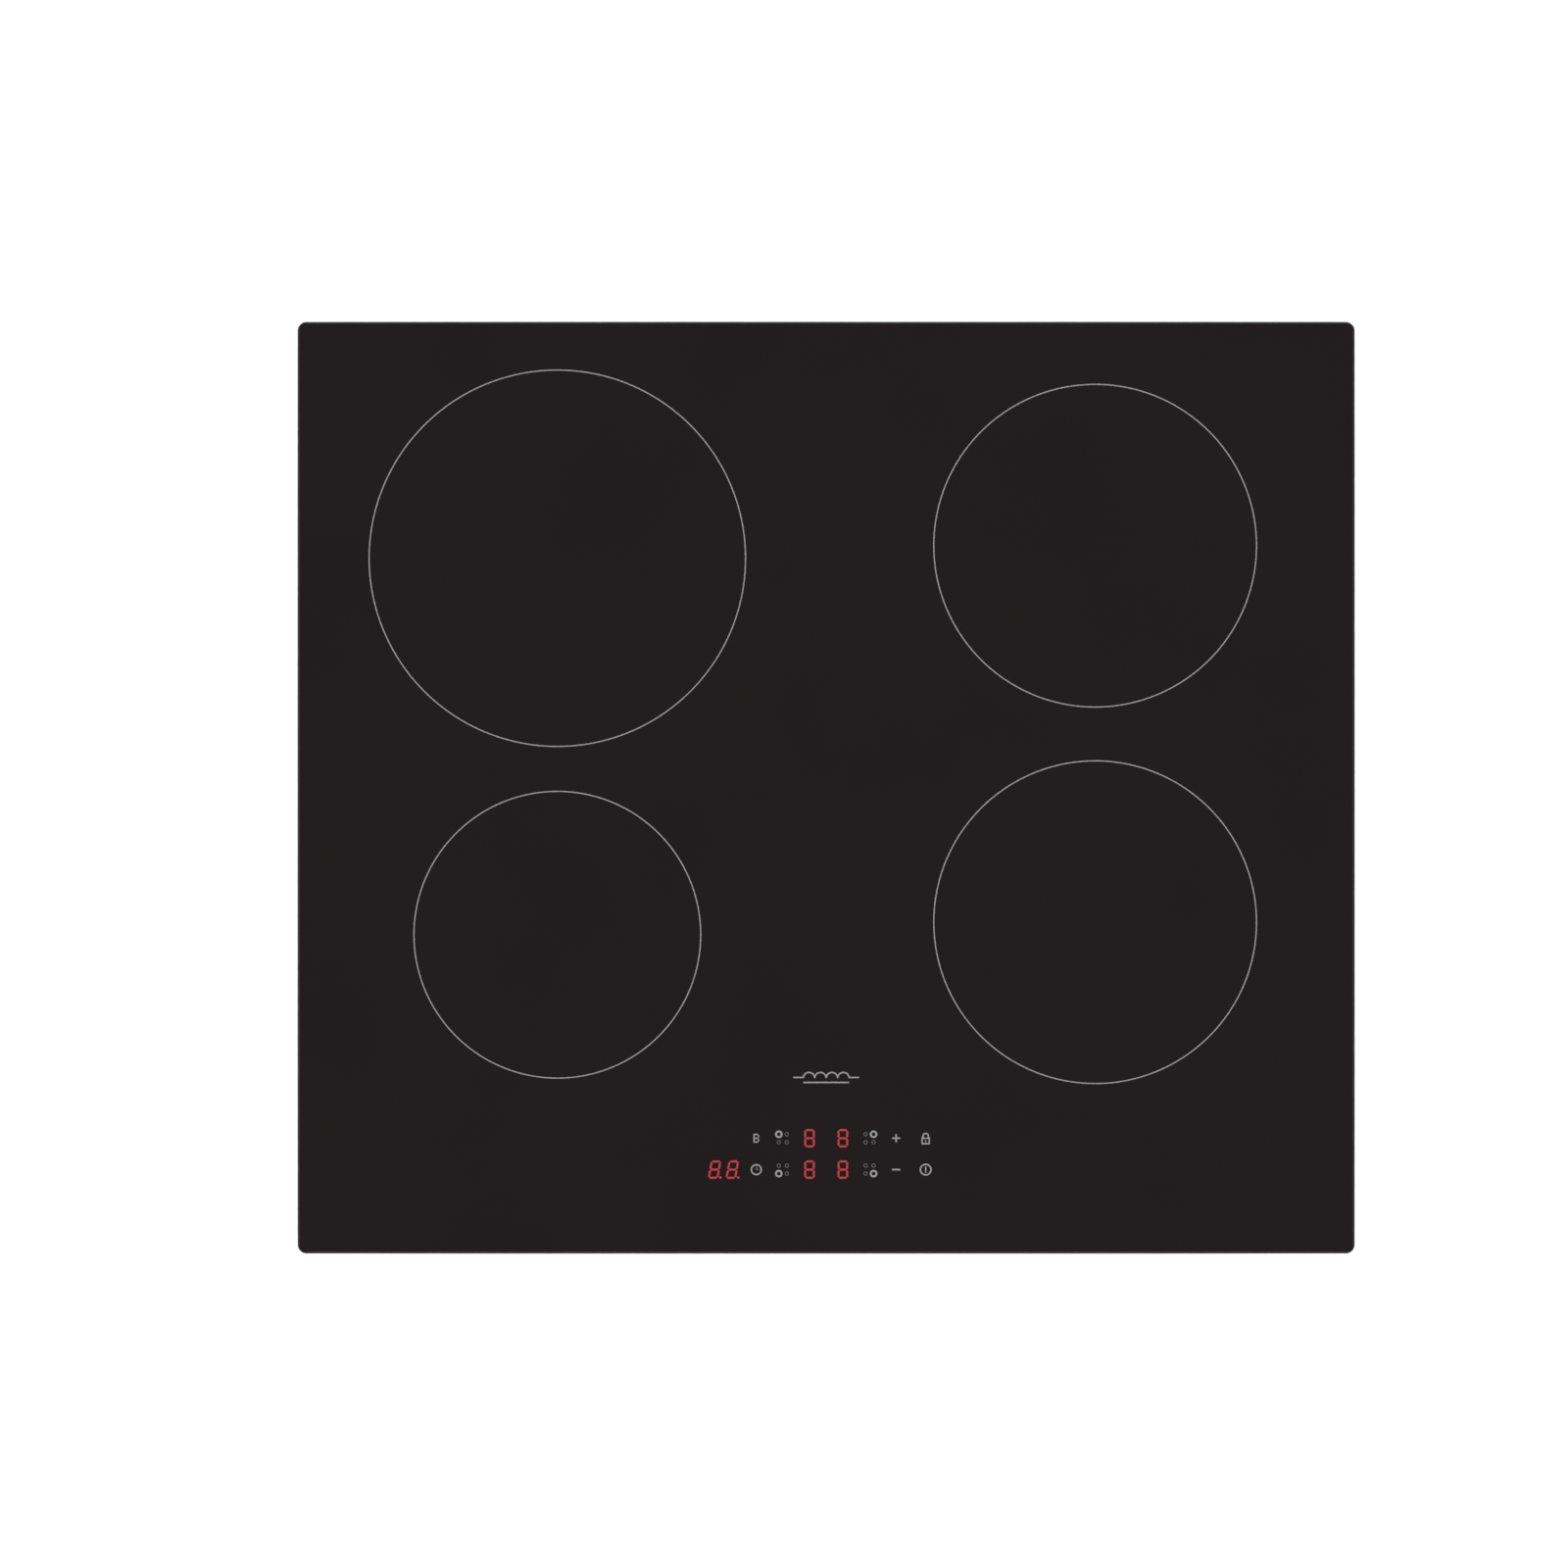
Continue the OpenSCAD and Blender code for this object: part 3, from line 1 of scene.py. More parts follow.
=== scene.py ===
import math
import bpy
import bmesh
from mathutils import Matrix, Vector


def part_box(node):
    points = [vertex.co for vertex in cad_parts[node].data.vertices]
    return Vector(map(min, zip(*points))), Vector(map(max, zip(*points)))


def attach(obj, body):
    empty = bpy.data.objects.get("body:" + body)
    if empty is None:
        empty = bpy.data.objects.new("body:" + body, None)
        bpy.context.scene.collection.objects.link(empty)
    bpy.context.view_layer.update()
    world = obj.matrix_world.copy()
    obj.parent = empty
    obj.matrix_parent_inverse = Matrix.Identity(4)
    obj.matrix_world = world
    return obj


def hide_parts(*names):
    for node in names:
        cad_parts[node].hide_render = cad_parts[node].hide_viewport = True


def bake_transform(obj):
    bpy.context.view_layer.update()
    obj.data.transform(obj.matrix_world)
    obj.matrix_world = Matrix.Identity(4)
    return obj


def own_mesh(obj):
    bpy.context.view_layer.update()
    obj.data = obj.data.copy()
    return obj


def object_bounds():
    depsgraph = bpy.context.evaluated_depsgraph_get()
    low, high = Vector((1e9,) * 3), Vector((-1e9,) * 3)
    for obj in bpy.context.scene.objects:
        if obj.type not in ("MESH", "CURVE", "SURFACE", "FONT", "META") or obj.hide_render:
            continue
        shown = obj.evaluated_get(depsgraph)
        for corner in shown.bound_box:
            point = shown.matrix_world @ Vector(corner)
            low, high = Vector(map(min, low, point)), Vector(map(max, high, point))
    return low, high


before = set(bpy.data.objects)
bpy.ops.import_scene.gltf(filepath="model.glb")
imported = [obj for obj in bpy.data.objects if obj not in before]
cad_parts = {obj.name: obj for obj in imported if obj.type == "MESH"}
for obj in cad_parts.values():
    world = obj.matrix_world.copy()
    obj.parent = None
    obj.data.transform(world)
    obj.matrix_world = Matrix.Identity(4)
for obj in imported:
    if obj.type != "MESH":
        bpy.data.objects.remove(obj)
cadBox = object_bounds()
mm = 0.001
zoneNames = ["rear_left", "rear_right", "front_right", "front_left"]
print("frame loaded:", len(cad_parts), "nodes")


# working by hand with the mesh tools

def objectMode():
    bpy.ops.object.mode_set(mode="OBJECT")


def editAll():
    bpy.ops.object.mode_set(mode="EDIT")
    bpy.ops.mesh.select_all(action="SELECT")


def applyPlace():
    bpy.ops.object.transform_apply(location=True, rotation=True, scale=True)


def deselectAll():
    if bpy.context.mode != "OBJECT":
        objectMode()
    bpy.ops.object.select_all(action="DESELECT")


def pick(obj, *more):
    deselectAll()
    for one in (obj, *more):
        one.select_set(True)
    bpy.context.view_layer.objects.active = obj
    return obj


# puts an object's place into its mesh, so that the object itself sits at the origin
def settle(obj, name):
    pick(obj)
    if obj.type != "MESH":
        bpy.ops.object.convert(target="MESH")
        obj = bpy.context.object
    applyPlace()
    obj.name = obj.data.name = name
    return obj


def join(pieces, name):
    pick(*pieces)
    if len(pieces) > 1:
        bpy.ops.object.join()
    return settle(bpy.context.object, name)


def middle(nodeName):
    low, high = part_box(nodeName)
    return (low + high) / 2


# opens edit mode with nothing selected
def openMesh(kind):
    bpy.ops.object.mode_set(mode="EDIT")
    bpy.ops.mesh.select_mode(type=kind)
    bpy.ops.mesh.select_all(action="DESELECT")
    return bmesh.from_edit_mesh(bpy.context.object.data)


def selectFaces(test):
    mesh = openMesh("FACE")
    mesh.normal_update()
    for face in mesh.faces:
        face.select_set(test(face.calc_center_median(), face.normal))
    bmesh.update_edit_mesh(bpy.context.object.data)


# bevels the edges whose two ends pass the test
def bevelEdges(test, width, segments=1, clamp=False):
    mesh = openMesh("EDGE")
    for edge in mesh.edges:
        edge.select_set(test(edge.verts[0].co, edge.verts[1].co))
    bmesh.update_edit_mesh(bpy.context.object.data)
    bpy.ops.mesh.bevel(offset=width, segments=segments, affect="EDGES", clamp_overlap=clamp)
    objectMode()


def roundEdges(obj, width, segments=2, angle=30):
    pick(obj)
    bevel = obj.modifiers.new("Rounded edges", "BEVEL")
    bevel.width, bevel.segments = width, segments
    bevel.limit_method, bevel.angle_limit = "ANGLE", math.radians(angle)
    bpy.ops.object.modifier_apply(modifier=bevel.name)
    return obj


def smooth(obj, angle=35):
    pick(obj)
    bpy.ops.object.shade_smooth_by_angle(angle=math.radians(angle))
    # the broad faces keep their own direction, so only the rounded edges shade off
    level = obj.modifiers.new("Broad faces first", "WEIGHTED_NORMAL")
    level.keep_sharp = True
    bpy.ops.object.modifier_apply(modifier=level.name)
    return obj


def block(low, high, rounding=0.0, segments=2):
    low, high = Vector(low), Vector(high)
    deselectAll()
    bpy.ops.mesh.primitive_cube_add(size=1, location=(low + high) / 2)
    obj = bpy.context.object
    obj.scale = high - low
    applyPlace()
    if rounding:
        roundEdges(obj, rounding, segments)
    return obj


# a block on centre (x, y) that stands on z
def post(x, y, z, w, d, h, rounding=0.0, segments=2):
    return block((x - w / 2, y - d / 2, z), (x + w / 2, y + d / 2, z + h), rounding, segments)


def copyOf(obj, dx=0, dy=0, dz=0, turn=0, axis="Z"):
    pick(obj)
    bpy.ops.object.duplicate()
    new = bpy.context.object
    if turn:
        new.rotation_euler["XYZ".index(axis)] = turn
        applyPlace()
    new.location += Vector((dx, dy, dz))
    applyPlace()
    return new


def removeAll(models):
    for model in models:
        bpy.data.objects.remove(model)


def cutWith(obj, tools):
    for tool in tools:
        pick(obj)
        cut = obj.modifiers.new("Cut", "BOOLEAN")
        cut.operation, cut.object, cut.solver = "DIFFERENCE", tool, "EXACT"
        bpy.ops.object.modifier_apply(modifier=cut.name)
    removeAll(tools)
    return obj


# a round bar that starts at (x, y, z) and runs up, or along X
def rod(x, y, z, radius, height, sides=32, axis="Z"):
    deselectAll()
    turn = (0, math.pi / 2, 0) if axis == "X" else (0, 0, 0)
    step = Vector((1, 0, 0)) if axis == "X" else Vector((0, 0, 1))
    bpy.ops.mesh.primitive_cylinder_add(vertices=sides, radius=radius, depth=height, rotation=turn,
                                        location=Vector((x, y, z)) + step * height / 2)
    obj = bpy.context.object
    applyPlace()
    return obj


# a run of edges through the points, drawn by extruding one vertex
def chain(points):
    deselectAll()
    bpy.ops.mesh.primitive_plane_add(size=mm)
    openMesh("VERT")
    bpy.ops.mesh.select_all(action="SELECT")
    bpy.ops.mesh.merge(type="CENTER")
    bpy.ops.transform.translate(value=points[0])
    for here, there in zip(points, points[1:]):
        step = Vector(there) - Vector(here)
        bpy.ops.mesh.extrude_region_move(TRANSFORM_OT_translate={"value": step})
    objectMode()
    return bpy.context.object


def cleanUp(gap=0.000002):
    bpy.ops.mesh.select_all(action="SELECT")
    bpy.ops.mesh.remove_doubles(threshold=gap)
    bpy.ops.mesh.normals_make_consistent(inside=False)


# a profile of (radius, height) points in millimetres, spun round an upright axis
def turned(x, y, z, profile, sides=48, closed=True):
    points = [(r * mm, 0, h * mm) for r, h in profile]
    obj = chain(points + points[:1] if closed else points)
    editAll()
    bpy.ops.mesh.spin(steps=sides, angle=2 * math.pi, center=(0, 0, 0), axis=(0, 0, 1))
    cleanUp()
    objectMode()
    bpy.ops.transform.translate(value=(x, y, z))
    applyPlace()
    return obj


# an outline drawn out into a solid
def drawnOut(outline, along):
    obj = chain(list(outline) + [outline[0]])
    editAll()
    bpy.ops.mesh.remove_doubles(threshold=0.000002)
    bpy.ops.mesh.edge_face_add()
    bpy.ops.mesh.extrude_region_move(TRANSFORM_OT_translate={"value": along})
    cleanUp()
    objectMode()
    return obj


# a block with rounded corners, seen from above
def roundedSlab(low, high, radius, segments=8):
    obj = block(low, high)
    bevelEdges(lambda a, b: abs(a.z - b.z) > mm / 10, radius, segments)
    return obj


# the box of each separate solid of a CAD node
def solids(nodeName):
    mesh = bmesh.new()
    mesh.from_mesh(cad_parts[nodeName].data)
    bmesh.ops.remove_doubles(mesh, verts=mesh.verts, dist=0.00001)
    boxes, seen = [], set()
    for start in mesh.verts:
        if start.index in seen:
            continue
        seen.add(start.index)
        group, front = [start], [start]
        while front:
            for edge in front.pop().link_edges:
                for other in edge.verts:
                    if other.index not in seen:
                        seen.add(other.index)
                        group.append(other)
                        front.append(other)
        low = Vector([min(v.co[k] for v in group) for k in range(3)])
        high = Vector([max(v.co[k] for v in group) for k in range(3)])
        boxes.append((low, high))
    mesh.free()
    return boxes


# an open curve straight from point to point
def drawnPath(path):
    deselectAll()
    bpy.ops.curve.primitive_nurbs_path_add()
    obj = bpy.context.object
    obj.data.splines.clear()
    run = obj.data.splines.new("POLY")
    run.points.add(len(path) - 1)
    for point, place in zip(run.points, path):
        point.co = (*place, 1)
    return obj, run


# a round tube through the points, made a mesh; its corners are rounded off over the length r
def tube(points, radius, r=0.0, steps=6, sides=8, name="tube"):
    path = [Vector(points[0])]
    for before, corner, after in zip(points, points[1:], points[2:]):
        before, corner, after = Vector(before), Vector(corner), Vector(after)
        a = corner + (before - corner).normalized() * r
        b = corner + (after - corner).normalized() * r
        for k in range(steps + 1):
            t = k / steps
            path.append((1 - t) ** 2 * a + 2 * t * (1 - t) * corner + t * t * b)
    path.append(Vector(points[-1]))
    obj = drawnPath(path)[0]
    obj.data.bevel_depth, obj.data.bevel_resolution = radius, max(0, sides // 2 - 2)
    obj.data.use_fill_caps = True
    return settle(obj, name)


# a clean solid copy of a CAD node: welded, with its flat faces whole again, and its edges rounded
def softCopy(nodeName, pieceName, width, segments=2):
    pick(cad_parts[nodeName])
    bpy.ops.object.duplicate()
    obj = bpy.context.object
    for key in list(obj.keys()):
        del obj[key]
    obj.parent = None
    obj.data.materials.clear()
    editAll()
    bpy.ops.mesh.remove_doubles(threshold=0.00001)
    bpy.ops.mesh.dissolve_limited(angle_limit=math.radians(2))
    objectMode()
    if width:
        roundEdges(obj, width, segments, 40)
    smooth(obj, 40)
    return settle(obj, pieceName)


# materials: every look is a pattern on the piece's own coordinates

def newMaterial(name):
    made = bpy.data.materials.new(name)
    made.use_nodes = True
    tree = made.node_tree
    tree.nodes.clear()
    output = tree.nodes.new("ShaderNodeOutputMaterial")
    shader = tree.nodes.new("ShaderNodeBsdfPrincipled")
    tree.links.new(shader.outputs["BSDF"], output.inputs["Surface"])
    return made, tree, shader


def coordinates(tree, stretch=(1, 1, 1)):
    place = tree.nodes.new("ShaderNodeTexCoord")
    mapping = tree.nodes.new("ShaderNodeMapping")
    mapping.inputs["Scale"].default_value = stretch
    tree.links.new(place.outputs["Object"], mapping.inputs["Vector"])
    return mapping.outputs["Vector"]


# kind is noise, cells, spots or bands; scale is in repeats per metre; detail roughens the first and last
def pattern(tree, kind, scale, detail=3, stretch=(1, 1, 1)):
    if kind in ("noise", "bands"):
        made = tree.nodes.new("ShaderNodeTexNoise" if kind == "noise" else "ShaderNodeTexWave")
        made.inputs["Detail" if kind == "noise" else "Distortion"].default_value = detail
        result = made.outputs["Fac"]
    else:
        made = tree.nodes.new("ShaderNodeTexVoronoi")
        result = made.outputs["Color" if kind == "cells" else "Distance"]
    made.inputs["Scale"].default_value = scale
    tree.links.new(coordinates(tree, stretch), made.inputs["Vector"])
    return result


def mixColour(tree, amount, first, second):
    mix = tree.nodes.new("ShaderNodeMix")
    mix.data_type = "RGBA"
    tree.links.new(amount, mix.inputs["Factor"])
    for socket, value in (("A", first), ("B", second)):
        target = [i for i in mix.inputs if i.name == socket and i.type == "RGBA"][0]
        if isinstance(value, tuple):
            target.default_value = (*value, 1)
        else:
            tree.links.new(value, target)
    return [o for o in mix.outputs if o.type == "RGBA"][0]


def spread(tree, value, low, high, fromLow=0.3, fromHigh=0.7):
    ranged = tree.nodes.new("ShaderNodeMapRange")
    tree.links.new(value, ranged.inputs["Value"])
    for socket, number in (("From Min", fromLow), ("From Max", fromHigh), ("To Min", low), ("To Max", high)):
        ranged.inputs[socket].default_value = number
    return ranged.outputs["Result"]


def addBump(tree, shader, heights):
    last = None
    for height, strength, depth in heights:
        bump = tree.nodes.new("ShaderNodeBump")
        bump.inputs["Strength"].default_value = strength
        bump.inputs["Distance"].default_value = depth
        tree.links.new(height, bump.inputs["Height"])
        if last:
            tree.links.new(last, bump.inputs["Normal"])
        last = bump.outputs["Normal"]
    tree.links.new(last, shader.inputs["Normal"])


# a look has two colours mixed by its blotch, a roughness between two values by its grain, bumps that are
# each a strength, a depth and a pattern, and sockets with one value; a pattern is kind, scale, detail and
# stretch, where the last two may be left out
def surface(name, look):
    made, tree, shader = newMaterial(name)
    blotch = pattern(tree, *look["blotch"])
    first, second = look["colours"]
    tree.links.new(mixColour(tree, spread(tree, blotch, 0, 1), first, second), shader.inputs["Base Color"])
    grain = pattern(tree, *look["grain"])
    tree.links.new(spread(tree, grain, *look["rough"]), shader.inputs["Roughness"])
    addBump(tree, shader, [(pattern(tree, *where), strength, depth)
                           for strength, depth, *where in look["bumps"]])
    for socket, value in look.get("sockets", {}).items():
        shader.inputs[socket].default_value = value
    made.diffuse_color = (*first, 1)
    return made


looks = dict(
    # tinted glass-ceramic: near black, mirror-smooth, with the faintest waviness and wiping marks
    ceramicGlass=dict(colours=((0.004, 0.002, 0.002), (0.0046, 0.0026, 0.0026)), blotch=("noise", 9, 2),
        grain=("noise", 60, 6, (1, 0.25, 1)), rough=(0.045, 0.075),
        bumps=[(0.02, 0.0004, "noise", 14, 1)], sockets={"IOR": 1.53, "Specular IOR Level": 0.36}),
    groundEdge=dict(colours=((0.003, 0.0024, 0.0026), (0.005, 0.004, 0.0043)), blotch=("noise", 200),
        grain=("noise", 900, 4), rough=(0.35, 0.5), bumps=[(0.05, 0.0001, "noise", 1500, 2)],
        sockets={"IOR": 1.53, "Specular IOR Level": 0.15}),
    # screen-printed enamel with the dots of its mesh
    greyEnamel=dict(colours=((0.138, 0.134, 0.134), (0.17, 0.166, 0.167)), blotch=("noise", 700, 5),
        grain=("noise", 2500), rough=(0.4, 0.6), bumps=[(0.12, 0.00002, "spots", 3200)]),
    dimEnamel=dict(colours=((0.045, 0.044, 0.044), (0.062, 0.06, 0.061)), blotch=("noise", 900, 5),
        grain=("noise", 2500), rough=(0.4, 0.6), bumps=[(0.12, 0.00002, "spots", 3200)]),
    foam=dict(colours=((0.016, 0.016, 0.017), (0.035, 0.035, 0.036)), blotch=("noise", 350, 6),
        grain=("noise", 1500, 2), rough=(0.85, 1),
        bumps=[(0.6, 0.0002, "spots", 2600), (0.3, 0.0003, "noise", 500)]),
    silicone=dict(colours=((0.03, 0.03, 0.032), (0.045, 0.045, 0.047)), blotch=("noise", 120, 2),
        grain=("noise", 500, 2), rough=(0.3, 0.5), bumps=[(0.25, 0.0003, "noise", 260, 2, (1, 1, 3))]),
    # hot-dip zinc: spangle cells, each with its own shine, and drawn scratches over them
    zincSheet=dict(colours=((0.54, 0.56, 0.57), (0.62, 0.64, 0.65)), blotch=("cells", 190),
        grain=("noise", 30, 4), rough=(0.34, 0.42),
        bumps=[(0.02, 0.0001, "cells", 190), (0.05, 0.0001, "noise", 900, 3, (1, 0.06, 1))],
        sockets={"Metallic": 1.0}),
    springSteel=dict(colours=((0.5, 0.49, 0.47), (0.58, 0.57, 0.55)),
        blotch=("noise", 60, 3, (1, 1, 0.3)), grain=("noise", 300, 3, (1, 1, 0.1)), rough=(0.24, 0.34),
        bumps=[(0.02, 0.0001, "noise", 500, 2, (1, 1, 0.1))], sockets={"Metallic": 1.0}),
    zincScrew=dict(colours=((0.6, 0.61, 0.58), (0.72, 0.72, 0.7)), blotch=("noise", 500),
        grain=("noise", 1200), rough=(0.2, 0.38), bumps=[(0.06, 0.0001, "noise", 2500, 2)],
        sockets={"Metallic": 1.0}),
    blackPlastic=dict(colours=((0.014, 0.015, 0.016), (0.022, 0.023, 0.025)), blotch=("noise", 25),
        grain=("noise", 300), rough=(0.42, 0.58), bumps=[(0.16, 0.0001, "spots", 1600)]),
    carrierPlastic=dict(colours=((0.025, 0.026, 0.028), (0.04, 0.041, 0.044)),
        blotch=("noise", 90, 5, (1, 1, 3)), grain=("noise", 600), rough=(0.5, 0.7),
        bumps=[(0.2, 0.0001, "noise", 1800, 4)]),
    fanPlastic=dict(colours=((0.02, 0.021, 0.023), (0.03, 0.031, 0.034)), blotch=("noise", 40, 2),
        grain=("noise", 500, 2), rough=(0.3, 0.42), bumps=[(0.05, 0.0001, "noise", 1500, 2)]),
    whitePlastic=dict(colours=((0.66, 0.65, 0.6), (0.74, 0.73, 0.69)), blotch=("noise", 30),
        grain=("noise", 400), rough=(0.35, 0.5), bumps=[(0.08, 0.0001, "noise", 900, 2)],
        sockets={"Subsurface Weight": 0.05}),
    brassPart=dict(colours=((0.62, 0.44, 0.17), (0.78, 0.58, 0.27)), blotch=("noise", 400),
        grain=("noise", 900), rough=(0.25, 0.42), bumps=[(0.06, 0.0001, "noise", 2000, 2)],
        sockets={"Metallic": 1.0}),
    millAluminium=dict(colours=((0.56, 0.57, 0.58), (0.63, 0.64, 0.65)),
        blotch=("noise", 12, 4, (1, 0.15, 1)), grain=("noise", 500, 4, (1, 0.02, 1)), rough=(0.28, 0.42),
        bumps=[(0.06, 0.0001, "noise", 900, 3, (1, 0.02, 1))], sockets={"Metallic": 1.0}),
    finAluminium=dict(colours=((0.62, 0.63, 0.64), (0.74, 0.75, 0.76)),
        blotch=("noise", 40, 4, (1, 0.05, 1)), grain=("noise", 800, 3, (1, 0.02, 1)), rough=(0.34, 0.5),
        bumps=[(0.1, 0.0001, "noise", 1600, 3, (1, 0.02, 1))], sockets={"Metallic": 1.0}),
    ferrite=dict(colours=((0.02, 0.02, 0.022), (0.034, 0.034, 0.036)), blotch=("noise", 250, 5),
        grain=("noise", 900, 4), rough=(0.6, 0.8), bumps=[(0.25, 0.0001, "noise", 1600, 6)]),
    mica=dict(colours=((0.4, 0.345, 0.265), (0.47, 0.41, 0.32)), blotch=("cells", 350),
        grain=("cells", 500), rough=(0.3, 0.6), bumps=[(0.15, 0.0001, "cells", 700)],
        sockets={"Sheen Weight": 0.1}),
    sensorCeramic=dict(colours=((0.66, 0.65, 0.6), (0.76, 0.75, 0.71)), blotch=("noise", 300),
        grain=("noise", 700), rough=(0.6, 0.8), bumps=[(0.15, 0.0001, "noise", 1500, 5)]),
    goldFilm=dict(colours=((0.48, 0.27, 0.05), (0.6, 0.36, 0.08)), blotch=("noise", 120),
        grain=("noise", 700), rough=(0.22, 0.35), bumps=[(0.1, 0.0001, "noise", 400, 2)],
        sockets={"Coat Weight": 0.4}),
    yellowFilm=dict(colours=((0.66, 0.42, 0.07), (0.76, 0.52, 0.11)), blotch=("noise", 120),
        grain=("noise", 700), rough=(0.3, 0.42), bumps=[(0.08, 0.0001, "noise", 500, 2)]),
    enamelledWire=dict(colours=((0.36, 0.11, 0.035), (0.52, 0.19, 0.07)), blotch=("noise", 400),
        grain=("noise", 800), rough=(0.18, 0.3), bumps=[(0.06, 0.0001, "noise", 900, 2)],
        sockets={"Metallic": 0.8, "Coat Weight": 0.6}),
    chokeCore=dict(colours=((0.1, 0.16, 0.09), (0.14, 0.21, 0.12)), blotch=("noise", 200),
        grain=("noise", 700), rough=(0.4, 0.55), bumps=[(0.15, 0.0001, "noise", 700)]),
    sleeveBlue=dict(colours=((0.012, 0.022, 0.075), (0.02, 0.035, 0.11)), blotch=("noise", 200, 2),
        grain=("noise", 600, 2), rough=(0.25, 0.4), bumps=[(0.06, 0.0001, "noise", 900, 2)],
        sockets={"Coat Weight": 0.2}),
    epoxyBlack=dict(colours=((0.012, 0.012, 0.013), (0.022, 0.022, 0.024)), blotch=("noise", 300),
        grain=("noise", 900), rough=(0.45, 0.65), bumps=[(0.12, 0.0001, "noise", 2200)]),
    tinnedLead=dict(colours=((0.62, 0.62, 0.61), (0.74, 0.74, 0.73)), blotch=("noise", 600, 2),
        grain=("noise", 1200, 2), rough=(0.22, 0.36), bumps=[(0.08, 0.0001, "noise", 1800, 2)],
        sockets={"Metallic": 1.0}),
    tubeGlass=dict(colours=((0.66, 0.68, 0.68), (0.76, 0.78, 0.78)), blotch=("noise", 300, 2),
        grain=("noise", 600, 2), rough=(0.08, 0.16), bumps=[(0.05, 0.0001, "noise", 500, 1)],
        sockets={"Coat Weight": 0.5}),
    redWire=dict(colours=((0.35, 0.02, 0.018), (0.45, 0.03, 0.026)), blotch=("noise", 100, 2),
        grain=("noise", 400, 2), rough=(0.3, 0.42), bumps=[(0.08, 0.0001, "noise", 700, 2)]),
    whiteWire=dict(colours=((0.62, 0.6, 0.54), (0.7, 0.68, 0.62)), blotch=("noise", 100, 2),
        grain=("noise", 400, 2), rough=(0.35, 0.5), bumps=[(0.08, 0.0001, "noise", 700, 2)]),
    displayGrey=dict(colours=((0.1, 0.1, 0.105), (0.14, 0.14, 0.145)), blotch=("noise", 60, 2),
        grain=("noise", 500, 2), rough=(0.45, 0.6), bumps=[(0.08, 0.0001, "noise", 900, 2)]),
    milkyLens=dict(colours=((0.62, 0.6, 0.58), (0.7, 0.68, 0.66)), blotch=("noise", 300, 2),
        grain=("noise", 500, 2), rough=(0.2, 0.32), bumps=[(0.05, 0.0001, "noise", 900, 2)],
        sockets={"Subsurface Weight": 0.1}),
    greyCable=dict(colours=((0.34, 0.34, 0.35), (0.42, 0.42, 0.43)), blotch=("noise", 100, 2),
        grain=("noise", 400, 2), rough=(0.4, 0.55), bumps=[(0.6, 0.0004, "bands", 260, 0, (1, 0, 0))]),
    litzSleeve=dict(colours=((0.3, 0.11, 0.045), (0.42, 0.17, 0.075)), blotch=("noise", 900),
        grain=("noise", 900), rough=(0.35, 0.5), bumps=[(0.5, 0.0002, "bands", 500, 1)],
        sockets={"Metallic": 0.5}))
for name, dark, light in (("brownWire", (0.11, 0.045, 0.02), (0.15, 0.065, 0.03)),
                          ("blueWire", (0.02, 0.07, 0.26), (0.03, 0.1, 0.34)),
                          ("blackWire", (0.012, 0.012, 0.013), (0.02, 0.02, 0.021))):
    looks[name] = dict(colours=(dark, light), blotch=("noise", 100, 2), grain=("noise", 400, 2),
                       rough=(0.32, 0.45), bumps=[(0.08, 0.0001, "noise", 700, 2)])
materials = {name: surface(name, look) for name, look in looks.items()}


# light from the digits: red, its tone varying a little in fine spots
def redLightMaterial():
    look = dict(dark=(0.16, 0.006, 0.008), light=(0.21, 0.011, 0.013), glow=(1.0, 0.03, 0.045),
                strength=0.16)
    made, tree, shader = newMaterial("redLight")
    grain = pattern(tree, "noise", 1500, 2)
    tree.links.new(mixColour(tree, grain, look["dark"], look["light"]), shader.inputs["Base Color"])
    tree.links.new(spread(tree, grain, 0.3, 0.45), shader.inputs["Roughness"])
    shader.inputs["Emission Color"].default_value = (*look["glow"], 1)
    shader.inputs["Emission Strength"].default_value = look["strength"]
    return made


# green solder mask with raised copper tracks and pads under it
def circuitBoardMaterial(name, tracks):
    made, tree, shader = newMaterial(name)
    bricks = tree.nodes.new("ShaderNodeTexBrick")
    tree.links.new(coordinates(tree), bricks.inputs["Vector"])
    for socket, value in (("Scale", tracks), ("Mortar Size", 0.09), ("Mortar Smooth", 0.1), ("Bias", -0.4),
                          ("Brick Width", 0.9), ("Row Height", 0.22)):
        bricks.inputs[socket].default_value = value
    bricks.offset, bricks.squash = 0.37, 1.6
    mask = bricks.outputs["Fac"]
    tree.links.new(mixColour(tree, mask, (0.018, 0.115, 0.035), (0.006, 0.052, 0.018)),
                   shader.inputs["Base Color"])
    grain = pattern(tree, "noise", 500, 4)
    tree.links.new(spread(tree, grain, 0.22, 0.4), shader.inputs["Roughness"])
    weave = pattern(tree, "noise", 1800, 3, (1, 1, 0.2))
    addBump(tree, shader, [(mask, -0.4, 0.0001), (weave, 0.08, 0.0001)])
    shader.inputs["Coat Weight"].default_value = 0.3
    return made
